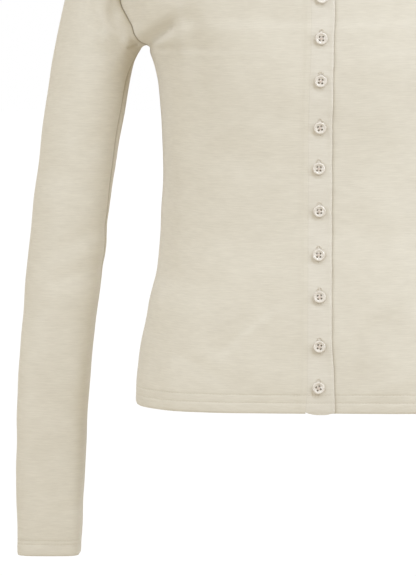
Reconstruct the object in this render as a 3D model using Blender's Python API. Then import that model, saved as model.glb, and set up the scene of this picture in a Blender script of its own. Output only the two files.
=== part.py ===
"""A button cardigan in fine jersey, filled out as it is worn.

The cloth is cut as a maker cuts it: a back, two fronts, two sleeves, two button
bands and a neckband. Every piece lies on one general form, a stack of rounded
sections. A point of the form is named by its bearing (0 degrees at the centre
front, 90 at the wearer's left side, -90 at the right, 180 at the centre back)
and its height, and a wall is that form at two insets.

Lengths below are in millimetres; the solids are placed in metres. The origin
lies midway between the two high shoulder points, +Z up, the front towards -Y.
"""

import math

import bmesh
import bpy
import numpy as np

MM = 0.001
SEAM_GAP = 0.3
CLOTH = 1.2          # one layer of jersey
BAND_CLOTH = 1.6     # a band, folded double and pressed
BAND_PROUD = 0.5     # how far the top band stands out from the front

# ---------------------------------------------------------------- sizes

HEM_HEIGHT = -562.4
HEM_TURN_UP = 19.0
CUFF_TURN_UP = 16.0
ARMPIT_HEIGHT = -226.6
ARMPIT_ROW_DIP = 30.0      # how far the cross row through the armpits sags at the centre
SIDE_SEAM_BEARING = 75.0   # the side seam sits a little forward of the side
NECK_HALF_WIDTH = 75.0
FRONT_NECK_DROP = 95.0
BACK_NECK_DROP = 18.0
NECK_SQUARENESS = 2.3
NECKBAND_WIDTH = 11.0
SHOULDER_TIP = 188.0
SHOULDER_SLOPE = math.radians(21.7)
SHOULDER_ROUNDING_FROM = -190.0
SHOULDER_ROUNDNESS = 2.2


def table(columns, rows):
    """A table whose columns are read by name."""
    return dict(zip(columns.split(), np.array(rows, float).T))


# half_width is the true outline. breadth sets how the front and back curve, and so
# leaves out how the cloth is drawn in under the arm.
BODY = table("height half_width breadth front back squareness", [
    (-575, 175.2, 175.2, 109, 101, 3.6),   # just under the hem
    (-545, 174.4, 174.4, 109, 101, 3.5),
    (-511, 170.8, 170.8, 108, 100, 3.2),
    (-473, 163.4, 163.4, 106, 97, 3.0),
    (-435, 155.6, 155.6, 103, 94, 2.8),
    (-390, 151.6, 151.6, 100, 92, 2.7),    # waist
    (-340, 150.0, 150.3, 100, 92, 2.6),
    (-302, 151.0, 152.5, 102, 94, 2.6),
    (-264, 154.4, 158.5, 105, 97, 2.5),
    (-241, 158.9, 164.3, 106, 98, 2.45),
    (-235, 160.6, 166.2, 106, 98, 2.45),
    (-230, 162.2, 168.3, 106, 98, 2.4),
    (-226.6, 168.0, 170.0, 106, 98, 2.4),  # armpit
    (-224, 175.5, 171.2, 106, 98, 2.4),
    (-220, 183.0, 173.5, 106, 98, 2.4),
    (-213, 190.0, 178.0, 106, 98, 2.4),
    (-202, 195.0, 185.0, 105, 98, 2.4),
    (-186, 198.0, 192.0, 105, 98, 2.4),
    (-140, 203.0, 202.0, 101, 98, 2.4),
    (-90, 206.0, 206.0, 92, 96, 2.4),
    (-45, 208.0, 208.0, 86, 94, 2.5),
    (40, 210.0, 210.0, 80, 92, 2.5),
])
SIDE_SHARPNESS = 8    # how near the side the outline's own half width takes over

# The armhole seam below the shoulder tip, as distance from the centre and height.
ARMHOLE_FRONT = table("across height", [
    (187.5, -90),
    (188.0, -140),
    (187.0, -185.5),
    (180.9, -202),
    (175.9, -213.8),
    (173.7, -218.9),
    (172.3, -223.2),
])
ARMHOLE_BACK = table("across height", [
    (186.0, -95),
    (186.5, -145),
    (184.0, -186),
    (178.0, -205),
    (173.0, -217),
    (169.5, -224),
    (167.8, -226.3),     # under the arm, just behind the side
])

# seam_turn is how far, in degrees, the underarm seam lies forward of the inner side.
SLEEVE = table("height axis_out half_width axis_forward half_depth squareness seam_turn", [
    (-262, 219.2, 38.2, 1, 46.0, 2.0, 25),   # just under the armpit
    (-302, 225.7, 37.6, 1, 44.5, 2.0, 25),
    (-340, 231.3, 36.3, 1, 43.0, 2.1, 24),
    (-378, 236.4, 36.3, 2, 41.5, 2.2, 21),
    (-416, 240.5, 36.0, 3, 40.0, 2.3, 16),   # elbow
    (-454, 244.7, 35.6, 4, 38.0, 2.4, 10),
    (-492, 248.9, 34.5, 5, 36.0, 2.5, 4),
    (-530, 252.2, 33.8, 7, 33.5, 2.6, 0),
    (-568, 254.6, 33.2, 8, 31.0, 2.7, 0),
    (-606, 255.9, 32.5, 9, 28.5, 2.9, 0),
    (-644, 257.0, 31.7, 10, 26.0, 3.1, 0),
    (-682, 257.8, 30.6, 10, 23.5, 3.3, 0),
    (-710, 258.3, 29.6, 10, 21.5, 3.5, 0),   # cuff edge
])

# How the sleeve leaves the armhole and comes into the arm: under the arm, and at the top.
CAP_LEAVES_OUT = (20, 85)
CAP_LEAVES_UP = (2, -40)
CAP_SPREADS = 9
CAP_COMES_DOWN = (34, 184)

# The lap at the centre front. The right band covers the left one.
BAND = table("height seam edge", [
    (-575, -14.0, 13.3),
    (-556, -13.5, 13.2),
    (-540, -12.1, 12.8),
    (-525, -11.9, 12.2),
    (-505, -11.9, 10.9),
    (-480, -11.9, 10.2),
    (-300, -11.8, 10.0),
    (-277, -11.3, 10.5),
    (-240, -10.0, 11.0),
    (-211, -9.3, 11.6),
    (-182, -9.3, 12.2),
    (-60, -9.3, 12.2),
])
UNDER_BAND_INSET = -BAND_PROUD + BAND_CLOTH + SEAM_GAP
UNDER_BAND_SEAM = 9.0        # the left front starts just under the edge of the top band
LAP_FADES_FROM = 16.0
LAP_FADES_TO = 75.0
BAND_HEM_DROP = 0.6          # the top band hangs a little lower than the hem
BAND_HEM_ROUNDING = 2.0      # and its lower corners are rounded up

# How far the neckband leans in over the neck, as sideways for each unit up.
NECK_LEAN = 0.34
NECK_LEAN_AT_SIDE = 0.20     # more at the sides of the neck
NECK_LEAN_BEHIND = 0.10      # and more behind it
NECK_BEHIND = (-60, 40)      # from the front of the neck to the back
NECK_TURN = (12, 50)         # from the band's end, where it leans straight back

BUTTON_RADIUS = 5.6
BUTTON_THICKNESS = 2.5
BUTTON_RIM = 1.2
BUTTON_DISH = 0.8
HOLE_RADIUS = 0.75
HOLE_SPACING = 2.9
BUTTONS = table("height across turn", [
    (-103.0, 0.4, 10),
    (-143.0, 0.4, -6),
    (-182.6, 0.4, 4),
    (-219.7, -0.1, 0),
    (-258.4, -0.6, -8),
    (-301.0, -1.1, 12),
    (-338.1, -2.0, -3),
    (-377.1, -1.4, 5),
    (-417.1, -1.9, 0),
    (-455.3, -1.0, 8),
    (-500.7, -1.0, -10),
    (-538.6, -1.7, 22),
])

# Soft folds that the cloth falls in. Each runs between two places, seen from the
# front or the back; the height of its ridge is negative where it is a trough.
FOLDS = table("face across_from height_from across_to height_to ridge half_width", [
    (1, -156, -218, -128, -199, -2.6, 10),   # drag from the right armpit to the bust
    (1, 156, -218, 130, -201, -2.4, 10),     # and from the left
    (1, -118, -215, -110, -290, -1.6, 14),   # fall beside the bust
    (1, 116, -215, 109, -285, -1.6, 14),
    (1, -146, -250, -142, -440, -1.8, 11),   # long side fold
    (1, 145, -250, 142, -430, -1.8, 11),
    (1, -152, -500, -158, -575, -2.0, 13),   # flare over the hip
    (1, 150, -500, 156, -575, -2.0, 13),
    (1, -90, -500, -44, -455, -1.2, 9),      # slack across the right front
    (1, 62, -500, 92, -455, -1.0, 10),
    (-1, -160, -222, -120, -196, -2.6, 11),  # the same drags behind the arms
    (-1, 160, -222, 120, -198, -2.6, 11),
    (-1, -60, -330, 58, -336, -1.6, 13),     # small of the back
    (-1, -84, -372, 90, -380, -1.4, 14),
    (-1, -104, -470, -112, -575, -1.8, 16),
    (-1, 100, -474, 110, -575, -1.8, 16),
])

# ---------------------------------------------------------------- grid sizes

NECK_COLUMNS = 6        # columns of a half panel that end on the neckline
SHOULDER_COLUMNS = 6    # and on the shoulder
SIDE_CROWDING = 1.3     # the columns crowd towards the side
ARM_ROWS = 11           # rows that end on the armhole
ARM_ROW_CROWDING = 0.07 # the rows crowd towards the armpit and the shoulder
TOP_ROW_SWING = 6       # how late the columns turn to their places on the neckline
LOW_ROWS = 13           # rows between the hem's turn-up and the armpit
LOW_ROW_CROWDING = 1.6  # they crowd towards the armpit
CAP_RINGS = 9           # rings of a sleeve between the armhole and the arm
ARM_RINGS = 13
BAND_COLUMNS = 3
BUTTON_SIDES = 12
FINE_STEPS = 400        # steps along a seam when it is measured
BEARING_STEPS = 40      # rounds in which a bearing settles

COLOURS = {
    "jersey": (0.70, 0.63, 0.52),
    "jersey band": (0.72, 0.66, 0.56),
    "button": (0.80, 0.75, 0.65),
}


# ---------------------------------------------------------------- curves

def smooth(at, knots, values):
    """A curve through the knots that never overshoots them."""
    order = np.argsort(knots)
    knots, values = np.asarray(knots)[order], np.asarray(values)[order]
    width = np.diff(knots)
    rise = np.diff(values) / width
    slope = np.empty_like(values)
    slope[0], slope[-1] = rise[0], rise[-1]
    before, after = rise[:-1], rise[1:]
    same_way = before * after > 0
    total = np.where(same_way, before + after, 1.0)
    slope[1:-1] = np.where(same_way, 2 * before * after / total, 0.0)
    at = np.clip(at, knots[0], knots[-1])
    k = np.clip(np.searchsorted(knots, at) - 1, 0, len(knots) - 2)
    t = (at - knots[k]) / width[k]
    return (
        values[k] * (1 + 2 * t) * (1 - t) ** 2
        + slope[k] * width[k] * t * (1 - t) ** 2
        + values[k + 1] * t * t * (3 - 2 * t)
        + slope[k + 1] * width[k] * t * t * (t - 1)
    )


def read(rows, column, at):
    """One column of a table, read smoothly at a height."""
    return smooth(at, rows["height"], rows[column])


def ease(x, start, end):
    """0 before the start, 1 after the end, and a soft step between."""
    t = np.clip((x - start) / (end - start), 0.0, 1.0)
    return t * t * (3 - 2 * t)


def rounded(bearing, squareness):
    """Across and ahead, from -1 to 1, on a rounded square."""
    across, ahead = np.sin(np.radians(bearing)), np.cos(np.radians(bearing))
    reach = (np.abs(across) ** squareness + np.abs(ahead) ** squareness) ** (1 / squareness)
    return across / reach, ahead / reach


def turn_to(out, squareness, face=1):
    """The bearing at which a rounded square is this far out."""
    out = np.clip(out, 0.0, 1.0)
    return np.degrees(np.arctan2(out, face * (1 - out ** squareness) ** (1 / squareness)))


def half_width_at(out, height):
    """The half width that a point this far out, from 0 to 1, is scaled by."""
    breadth = read(BODY, "breadth", height)
    return breadth + (read(BODY, "half_width", height) - breadth) * out ** SIDE_SHARPNESS


def flare(height):
    """Tangent of half the angle at which the side spreads out as it goes up."""
    spread = read(BODY, "half_width", height + 0.5) - read(BODY, "half_width", height - 0.5)
    return spread / (1 + np.sqrt(1 + spread ** 2))


def bearing_of(across, height, face=1):
    """The bearing at which the form is this far across; face is -1 on the back."""
    out = np.abs(across) / read(BODY, "breadth", height)
    for _ in range(BEARING_STEPS):
        out = np.clip(np.abs(across) / half_width_at(out, height), 0.0, 1.0)
    bearing = turn_to(out, read(BODY, "squareness", height), face)
    return bearing * np.where(across < 0, -1, 1)


# ---------------------------------------------------------------- the form

def shoulder_height(across):
    """Height of the shoulder line, carried on in a round arch over the neck."""
    out = np.abs(across)
    arch = (NECK_HALF_WIDTH + out ** 2 / NECK_HALF_WIDTH) / 2
    out = np.where(out < NECK_HALF_WIDTH, arch, out)
    return (NECK_HALF_WIDTH - out) * math.tan(SHOULDER_SLOPE)


def fold_relief(across, height, face):
    """How far the folds lift the cloth off the form."""
    relief = np.zeros_like(across)
    for row in zip(*FOLDS.values()):
        fold_face, x0, z0, x1, z1, ridge, half_width = row
        length = math.hypot(x1 - x0, z1 - z0)
        ux, uz = (x1 - x0) / length, (z1 - z0) / length
        along = (across - x0) * ux + (height - z0) * uz
        beside = (across - x0) * -uz + (height - z0) * ux
        past = np.maximum(0.0, np.abs(along - length / 2) - length / 2)
        shape = np.exp(-(beside / half_width) ** 2 - (past / (1.5 * half_width)) ** 2)
        relief += np.where(face == fold_face, ridge * shape, 0.0)
    return relief


def form(bearing, height, inset):
    """Points of the form at this bearing and height, moved in by the inset."""
    bearing, height, inset = np.broadcast_arrays(bearing, height, inset)
    bearing, height = bearing.astype(float), height.astype(float)
    across, ahead = rounded(bearing, read(BODY, "squareness", height))
    half_width = half_width_at(np.abs(across), height)
    x = half_width * across
    face = np.where(ahead >= 0, 1, -1)
    inset = inset - fold_relief(x, height, face)
    depth = np.where(ahead >= 0, read(BODY, "front", height), read(BODY, "back", height))
    rise = (height - SHOULDER_ROUNDING_FROM) / (shoulder_height(x) - SHOULDER_ROUNDING_FROM)
    rise = np.clip(rise, 0.0, 1.0)
    closing = (1 - rise ** SHOULDER_ROUNDNESS) ** (1 / SHOULDER_ROUNDNESS)
    # Where the side flares, a level inset alone would thin the wall.
    lift = flare(height) * np.abs(across) ** SIDE_SHARPNESS - rise
    return np.stack([
        (half_width - inset) * across,
        -(depth - inset) * ahead * closing,
        height + inset * lift,
    ], axis=-1)


def lap_inset(across):
    """The left front dips under the band near the centre and comes back out."""
    fade = 1 - ease(across, LAP_FADES_FROM, LAP_FADES_TO)
    return np.where(across > 0, UNDER_BAND_INSET * fade, 0.0)


# ---------------------------------------------------------------- seam lines

def neckline(face, start):
    """Distance from the centre and height along the neck seam, in even steps."""
    turn = np.linspace(turn_to(start / NECK_HALF_WIDTH, NECK_SQUARENESS), 90, FINE_STEPS)
    across, ahead = rounded(turn, NECK_SQUARENESS)
    drop = FRONT_NECK_DROP if face > 0 else BACK_NECK_DROP
    across, height = NECK_HALF_WIDTH * across, -drop * ahead
    true = lengths(form(bearing_of(across, height, face), height, 0.0))
    at = np.linspace(0, true[-1], NECK_COLUMNS + 1)
    return np.interp(at, true, across), np.interp(at, true, height)


def lengths(points):
    """Distance along a line of points, from its first."""
    return np.append(0, np.cumsum(np.linalg.norm(np.diff(points, axis=0), axis=1)))


def armhole(face):
    """Bearing and height of the armhole seam, from the armpit up to the tip."""
    seam = ARMHOLE_FRONT if face > 0 else ARMHOLE_BACK
    across = np.append(seam["across"][::-1], SHOULDER_TIP)
    height = np.append(seam["height"][::-1], shoulder_height(SHOULDER_TIP))
    bearing = np.append(SIDE_SEAM_BEARING, bearing_of(across, height, face))
    height = np.append(ARMPIT_HEIGHT, height)
    rough = lengths(form(bearing, height, 0.0))
    fine = np.linspace(0, rough[-1], FINE_STEPS)
    bearing, height = smooth(fine, rough, bearing), smooth(fine, rough, height)
    true = lengths(form(bearing, height, 0.0))
    t = np.linspace(0, 1, ARM_ROWS + 1)
    at = (t - ARM_ROW_CROWDING * np.sin(2 * math.pi * t)) * true[-1]
    return np.interp(at, true, bearing), np.interp(at, true, height)


def right_centre(height):
    """How far from the centre the right front ends, at its band's seam."""
    return -read(BAND, "seam", height)


def left_centre(height):
    return UNDER_BAND_SEAM + 0 * height


def back_centre(height):
    return 0 * height


def half_panel(face, centre_line):
    """Bearings and heights of half a panel, for the wearer's left.

    Rows run from the hem to the neck and shoulder, and columns from the centre
    to the side. The low rows are straight across, and the high ones are a Coons
    patch between the armpit row, the centre line, the armhole and the top.
    """
    s = 1 - np.linspace(1, 0, NECK_COLUMNS + SHOULDER_COLUMNS + 1) ** SIDE_CROWDING

    def centre_bearing(height):
        return bearing_of(centre_line(height), height, face)

    armpit_row = ARMPIT_HEIGHT - ARMPIT_ROW_DIP * (1 - s ** 3)
    turn_up = HEM_HEIGHT + HEM_TURN_UP
    low = [np.full_like(s, HEM_HEIGHT), np.full_like(s, turn_up)]
    for t in 1 - np.linspace(1, 0, LOW_ROWS + 1) ** LOW_ROW_CROWDING:
        low.append(turn_up + 2.0 + (armpit_row - turn_up - 2.0) * t)
    heights = np.array(low)
    start = centre_bearing(heights)
    bearings = start + (SIDE_SEAM_BEARING - start) * s

    arm_bearing, arm_height = armhole(face)
    # The rows rise as evenly as they can and still follow the armhole's heights.
    t = np.linspace(0, 1, ARM_ROWS + 1)
    t = (t + (arm_height - arm_height[0]) / (arm_height[-1] - arm_height[0])) / 2
    neck = neckline(face, centre_line(-FRONT_NECK_DROP))
    beyond = (s[NECK_COLUMNS + 1:] - s[NECK_COLUMNS]) / (1 - s[NECK_COLUMNS])
    shoulder = NECK_HALF_WIDTH + (SHOULDER_TIP - NECK_HALF_WIDTH) * beyond
    top_across = np.append(neck[0], shoulder)
    top_height = np.append(neck[1], shoulder_height(shoulder))
    top_bearing = bearing_of(top_across, top_height, face)
    centre_height = armpit_row[0] + (top_height[0] - armpit_row[0]) * t

    def patch(bottom, top, inner, outer, up):
        inner, outer, up = inner[:, None], outer[:, None], up[:, None]
        bottom = bottom - (1 - s) * bottom[0] - s * bottom[-1]
        top = top - (1 - s) * top[0] - s * top[-1]
        return (1 - s) * inner + s * outer + (1 - up) * bottom + up * top

    # The columns swing in to the neck late, so that they leave its corner slantwise.
    late = t ** TOP_ROW_SWING
    high_heights = patch(armpit_row, top_height, centre_height, arm_height, t)
    high_bearings = patch(bearings[-1], top_bearing, centre_bearing(centre_height),
                          arm_bearing, late)
    return np.vstack([bearings, high_bearings[1:]]), np.vstack([heights, high_heights[1:]])


def drawn_in(points, sides, by=SEAM_GAP / 2):
    """The grid with its named edges drawn in, each square to itself."""
    points = points.copy()
    edges = {
        "bottom": (np.s_[0, :], np.s_[1, :]),
        "top": (np.s_[-1, :], np.s_[-2, :]),
        "left": (np.s_[:, 0], np.s_[:, 1]),
        "right": (np.s_[:, -1], np.s_[:, -2]),
    }
    moves = []
    for side in sides.split():
        edge, inside = edges[side]
        run = np.gradient(points[edge], axis=0)
        run /= np.linalg.norm(run, axis=-1, keepdims=True)
        step = points[inside] - points[edge]
        step -= (step * run).sum(-1, keepdims=True) * run
        moves.append((edge, by * step / np.linalg.norm(step, axis=-1, keepdims=True)))
    for edge, move in moves:
        points[edge] += move
    return points


# ---------------------------------------------------------------- building

def material(name):
    found = bpy.data.materials.get(name)
    if found:
        return found
    made = bpy.data.materials.new(name)
    made.use_nodes = True
    shader = made.node_tree.nodes["Principled BSDF"]
    shader.inputs["Base Color"].default_value = (*COLOURS[name], 1.0)
    shader.inputs["Roughness"].default_value = 0.35 if name == "button" else 0.9
    shader.inputs["Metallic"].default_value = 0.0
    return made


def add_object(name, bm, finish, parent=None):
    """A named object made of this mesh, shaded smooth up to its edges."""
    bmesh.ops.recalc_face_normals(bm, faces=bm.faces[:])
    mesh = bpy.data.meshes.new(name)
    bm.to_mesh(mesh)
    bm.free()
    mesh.shade_smooth()
    mesh.set_sharp_from_angle(angle=math.radians(40))
    mesh.materials.append(material(finish))
    made = bpy.data.objects.new(name, mesh)
    made.parent = parent
    bpy.context.collection.objects.link(made)
    return made


def add_wall(name, outer, inner, finish, parent):
    """A closed wall of cloth between an outer and an inner grid of points."""
    rows, columns = outer.shape[:2]
    bm = bmesh.new()
    place = bm.verts.layers.int.new("place")
    bmesh.ops.create_grid(bm, x_segments=columns - 1, y_segments=rows - 1, size=1.0)
    bm.verts.ensure_lookup_table()
    outer, inner = outer.reshape(-1, 3) * MM, inner.reshape(-1, 3) * MM
    for k, vertex in enumerate(bm.verts):
        vertex.co = outer[k]
        vertex[place] = k
    bmesh.ops.remove_doubles(bm, verts=bm.verts[:], dist=1e-6)
    bmesh.ops.triangulate(bm, faces=bm.faces[:], quad_method="SHORT_EDGE")
    moved = bmesh.ops.extrude_face_region(bm, geom=bm.faces[:], use_keep_orig=True)
    for vertex in moved["geom"]:
        if isinstance(vertex, bmesh.types.BMVert):
            vertex.co = inner[vertex[place]]
    return add_object(name, bm, finish, parent)


def cloth_inset(height):
    """The inner face of the jersey: one layer, and two in the hem's turn-up."""
    return CLOTH * (1 + (height < HEM_HEIGHT + HEM_TURN_UP + 1.0))


def add_fronts(body):
    for name, side, centre_line in (("front_right", -1, right_centre),
                                    ("front_left", 1, left_centre)):
        bearing, height = half_panel(1, centre_line)
        lap = lap_inset(side * form(bearing, height, 0.0)[..., 0])
        walls = [form(side * bearing, height, lap + inset)
                 for inset in (0.0, cloth_inset(height))]
        outer, inner = (drawn_in(wall, "left right top") for wall in walls)
        add_wall(name, outer, inner, "jersey", body)


def add_back(body):
    bearing, height = half_panel(-1, back_centre)
    bearing = np.hstack([bearing[:, ::-1], 360 - bearing[:, 1:]])
    height = np.hstack([height[:, ::-1], height[:, 1:]])
    walls = [form(bearing, height, inset) for inset in (0.0, cloth_inset(height))]
    outer, inner = (drawn_in(wall, "left right top") for wall in walls)
    add_wall("back", outer, inner, "jersey", body)


def sleeve_ring(height, side, angle):
    """A level ring of the sleeve; it starts at the underarm seam and goes by the front."""
    turned = np.degrees(angle) + read(SLEEVE, "seam_turn", height)
    forward, inward = rounded(turned, read(SLEEVE, "squareness", height))
    across = read(SLEEVE, "axis_out", height) - read(SLEEVE, "half_width", height) * inward
    ahead = read(SLEEVE, "axis_forward", height) + read(SLEEVE, "half_depth", height) * forward
    return np.stack([side * across, -ahead, height + 0 * angle], axis=-1)


def armhole_ring(side, inset):
    """The armhole seam, from the underarm over the front to the tip and down the back."""
    front, back = armhole(1), armhole(-1)
    bearing = np.concatenate([front[0], back[0][-2::-1]])
    height = np.concatenate([front[1], back[1][-2::-1]])
    return form(side * bearing, height, inset)


def sleeve_rings(side):
    """Rings of a sleeve's outer face, over the cap from the armhole and down to the cuff."""
    seam = armhole_ring(side, 0.0)
    # The sleeve leaves the seam outwards, square to it, and turns down into the arm.
    angle = np.linspace(0, 2 * math.pi, len(seam))
    top = (1 - np.cos(angle)) / 2
    arm_height = SLEEVE["height"][0]
    arm = sleeve_ring(arm_height, side, angle)
    leave = np.stack([
        side * np.interp(top, (0, 1), CAP_LEAVES_OUT),
        -CAP_SPREADS * np.sin(angle),
        np.interp(top, (0, 1), CAP_LEAVES_UP),
    ], axis=-1)
    down = sleeve_ring(arm_height - 1, side, angle) - arm
    arrive = down * np.interp(top, (0, 1), CAP_COMES_DOWN)[:, None]
    rings = []
    for t in np.linspace(0, 1, CAP_RINGS + 1):
        rings.append(
            seam * (1 + 2 * t) * (1 - t) ** 2
            + leave * t * (1 - t) ** 2
            + arm * t * t * (3 - 2 * t)
            + arrive * t * t * (t - 1)
        )
    cuff = SLEEVE["height"][-1]
    turn_up = cuff + CUFF_TURN_UP
    heights = list(np.linspace(arm_height, turn_up + 2.0, ARM_RINGS + 1)[1:])
    for level in heights + [turn_up, cuff]:
        rings.append(sleeve_ring(level, side, angle))
    return np.array(rings)


def sleeve_inner_face(rings, side):
    """The sleeve's inner face: a layer of cloth in, two layers in the cuff's turn-up."""
    open_rings = rings[:, :-1]
    around = np.roll(open_rings, -1, axis=1) - np.roll(open_rings, 1, axis=1)
    outward = side * np.cross(np.gradient(open_rings, axis=0), around)
    outward = np.hstack([outward, outward[:, :1]])
    outward /= np.linalg.norm(outward, axis=-1, keepdims=True)
    turned = rings[..., 2:] < SLEEVE["height"][-1] + CUFF_TURN_UP + 1.0
    inner = rings - CLOTH * (1 + turned) * outward
    inner[0] = armhole_ring(side, CLOTH)
    return inner


def add_sleeves(body):
    for name, side in (("sleeve_right", -1), ("sleeve_left", 1)):
        outer = sleeve_rings(side)
        inner = sleeve_inner_face(outer, side)
        outer, inner = (drawn_in(points, "bottom") for points in (outer, inner))
        outer[:, -1], inner[:, -1] = outer[:, 0], inner[:, 0]
        add_wall(name, outer, inner, "jersey", body)


def band_rows(centre_line):
    """Heights of a band's rows, which are its front's own, and of the neckband's top."""
    centre = half_panel(1, centre_line)[1][:, :1]
    return np.vstack([centre, centre[-1:] + NECKBAND_WIDTH])


def add_bands(body):
    s = np.linspace(0, 1, BAND_COLUMNS + 1)
    height = band_rows(right_centre)
    seam, edge = read(BAND, "seam", height), read(BAND, "edge", height)
    across = seam + (edge - seam) * s
    hang = height + 0 * s
    hang[0] += BAND_HEM_ROUNDING * np.abs(2 * s - 1) ** 4 - BAND_HEM_DROP
    walls = [form(bearing_of(across, hang), hang, inset - BAND_PROUD)
             for inset in (0.0, BAND_CLOTH)]
    outer, inner = (drawn_in(wall, "left") for wall in walls)
    add_wall("band_right", outer, inner, "jersey band", body)

    height = band_rows(left_centre)
    across = UNDER_BAND_SEAM * (1 - 2 * s) + 0 * height
    walls = [form(bearing_of(across, height), height, inset + UNDER_BAND_INSET)
             for inset in (0.0, BAND_CLOTH)]
    outer, inner = (drawn_in(wall, "left") for wall in walls)
    add_wall("band_left", outer, inner, "jersey band", body)


def neck_seam(inset):
    """The neck seam from the right band round the back to the left one."""
    points = []
    back = half_panel(-1, back_centre)
    right = half_panel(1, right_centre)
    left = half_panel(1, left_centre)
    ends = NECK_COLUMNS + 1
    for side, (bearing, height) in ((-1, right), (1, left)):
        bearing, height = bearing[-1, :ends], height[-1, :ends]
        lap = lap_inset(side * form(bearing, height, 0.0)[..., 0])
        points.append(form(side * bearing, height, lap + inset))
    bearing, height = back[0][-1, :ends], back[1][-1, :ends]
    behind = [form(side * bearing, height, inset) for side in (-1, 1)]
    return np.vstack([points[0], behind[0][-2::-1], behind[1][1:-1], points[1][::-1]])


def add_neckband(body):
    lower = neck_seam(0.0)
    behind = ease(lower[:, 1], *NECK_BEHIND)
    beside = np.abs(lower[:, 0]) / NECK_HALF_WIDTH
    lean = NECK_LEAN + NECK_LEAN_AT_SIDE * beside + NECK_LEAN_BEHIND * behind
    beyond_band = ease(np.abs(lower[:, 0]), *NECK_TURN)
    inward = -lower * np.stack([beyond_band, beyond_band ** 0, 0 * beyond_band], axis=1)
    inward /= np.linalg.norm(inward, axis=1, keepdims=True)
    stand = inward * lean[:, None] + (0, 0, 1)
    stand /= np.linalg.norm(stand, axis=1, keepdims=True)
    grids = []
    for inset in (0.0, BAND_CLOTH):
        seam = neck_seam(inset)
        grid = np.array([seam + stand * SEAM_GAP / 2, seam + stand * NECKBAND_WIDTH / 2,
                         seam + stand * NECKBAND_WIDTH])
        grids.append(drawn_in(grid, "left right"))
    add_wall("neckband", *grids, "jersey band", body)


def button_mesh(drill):
    """A turned four-hole button, its back at height 0, in metres."""
    r, t = BUTTON_RADIUS, BUTTON_THICKNESS
    profile = [
        (0.0, 0.0), (r - 1.4, 0.0), (r, 0.45 * t), (r - 0.5, t),
        (r - BUTTON_RIM, t), (r - BUTTON_RIM - 0.7, t - BUTTON_DISH), (0.0, t - BUTTON_DISH),
    ]
    bm = bmesh.new()
    verts = [bm.verts.new((radius * MM, 0.0, up * MM)) for radius, up in profile]
    edges = [bm.edges.new(pair) for pair in zip(verts, verts[1:])]
    bmesh.ops.spin(bm, geom=verts + edges, axis=(0, 0, 1), cent=(0, 0, 0), steps=BUTTON_SIDES,
                   angle=2 * math.pi, use_merge=True)
    bmesh.ops.remove_doubles(bm, verts=bm.verts[:], dist=1e-6)
    blank = add_object("button_blank", bm, "button")
    cut = blank.modifiers.new("four holes", "BOOLEAN")
    cut.operation = "DIFFERENCE"
    cut.object = drill
    drilled = blank.evaluated_get(bpy.context.evaluated_depsgraph_get())
    mesh = bpy.data.meshes.new_from_object(drilled)
    bpy.data.objects.remove(blank)
    return mesh


def button_drill():
    """The four holes as one cutter."""
    bm = bmesh.new()
    for k in range(4):
        turn = math.radians(45 + 90 * k)
        made = bmesh.ops.create_cone(bm, cap_ends=True, segments=6, radius1=HOLE_RADIUS * MM,
                                     radius2=HOLE_RADIUS * MM, depth=4 * BUTTON_THICKNESS * MM)
        away = HOLE_SPACING / math.sqrt(2) * MM
        bmesh.ops.translate(bm, verts=made["verts"],
                            vec=(away * math.cos(turn), away * math.sin(turn), 0))
    return add_object("hole_drill", bm, "button")


def add_buttons(body):
    drill = button_drill()
    mesh = button_mesh(drill)
    bpy.data.objects.remove(drill)
    lift = BAND_PROUD + SEAM_GAP
    for k, (height, across, turn) in enumerate(zip(*BUTTONS.values()), 1):
        bearing = bearing_of(across, height)
        seat, above = form(bearing, np.array([height, height + 5.0]), -lift)
        lean = math.atan2(above[1] - seat[1], above[2] - seat[2])
        button = bpy.data.objects.new(f"button_{k:02d}", mesh)
        bpy.context.collection.objects.link(button)
        button.parent = body
        button.location = seat * MM
        button.rotation_mode = "ZYX"
        button.rotation_euler = (math.pi / 2 - lean, 0, math.radians(turn))


def main():
    for old in list(bpy.data.objects):
        bpy.data.objects.remove(old)
    body = bpy.data.objects.new("cardigan", None)
    bpy.context.collection.objects.link(body)
    add_fronts(body)
    add_back(body)
    add_sleeves(body)
    add_bands(body)
    add_neckband(body)
    add_buttons(body)


main()
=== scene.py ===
# %% [markdown]
# # A button cardigan in fine jersey
#
# The cardigan is cut and sewn from thin stone-coloured jersey: a back, two
# fronts, two sleeves, two button bands and a neckband. It keeps the full form of
# the body that wore it, and nobody is inside. Each cut piece is built here as one
# sheet of cloth, with its seams, hems and stitches, over the solid of the same
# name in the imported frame.

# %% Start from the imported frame
import math

import bmesh
import bpy
import numpy as np
from mathutils import Euler, Matrix, Vector


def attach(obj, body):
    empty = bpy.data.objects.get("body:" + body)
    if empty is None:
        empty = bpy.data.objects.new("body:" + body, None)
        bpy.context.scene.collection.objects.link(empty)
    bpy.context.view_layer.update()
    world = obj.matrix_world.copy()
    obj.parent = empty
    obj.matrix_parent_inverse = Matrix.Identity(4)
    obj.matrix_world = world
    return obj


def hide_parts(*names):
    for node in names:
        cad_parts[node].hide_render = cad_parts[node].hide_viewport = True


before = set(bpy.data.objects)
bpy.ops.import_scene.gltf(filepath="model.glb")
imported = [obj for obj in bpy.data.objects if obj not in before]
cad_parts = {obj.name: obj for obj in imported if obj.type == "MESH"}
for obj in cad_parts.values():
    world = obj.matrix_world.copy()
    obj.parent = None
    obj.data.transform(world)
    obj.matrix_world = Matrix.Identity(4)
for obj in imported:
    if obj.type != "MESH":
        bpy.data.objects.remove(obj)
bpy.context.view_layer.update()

MM = 0.001

# %% [markdown]
# ## Camera, light and floor
#
# A long lens from three metres away sees the wearer's right half, from a little
# above the waist. The backdrop is plain white.

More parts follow.
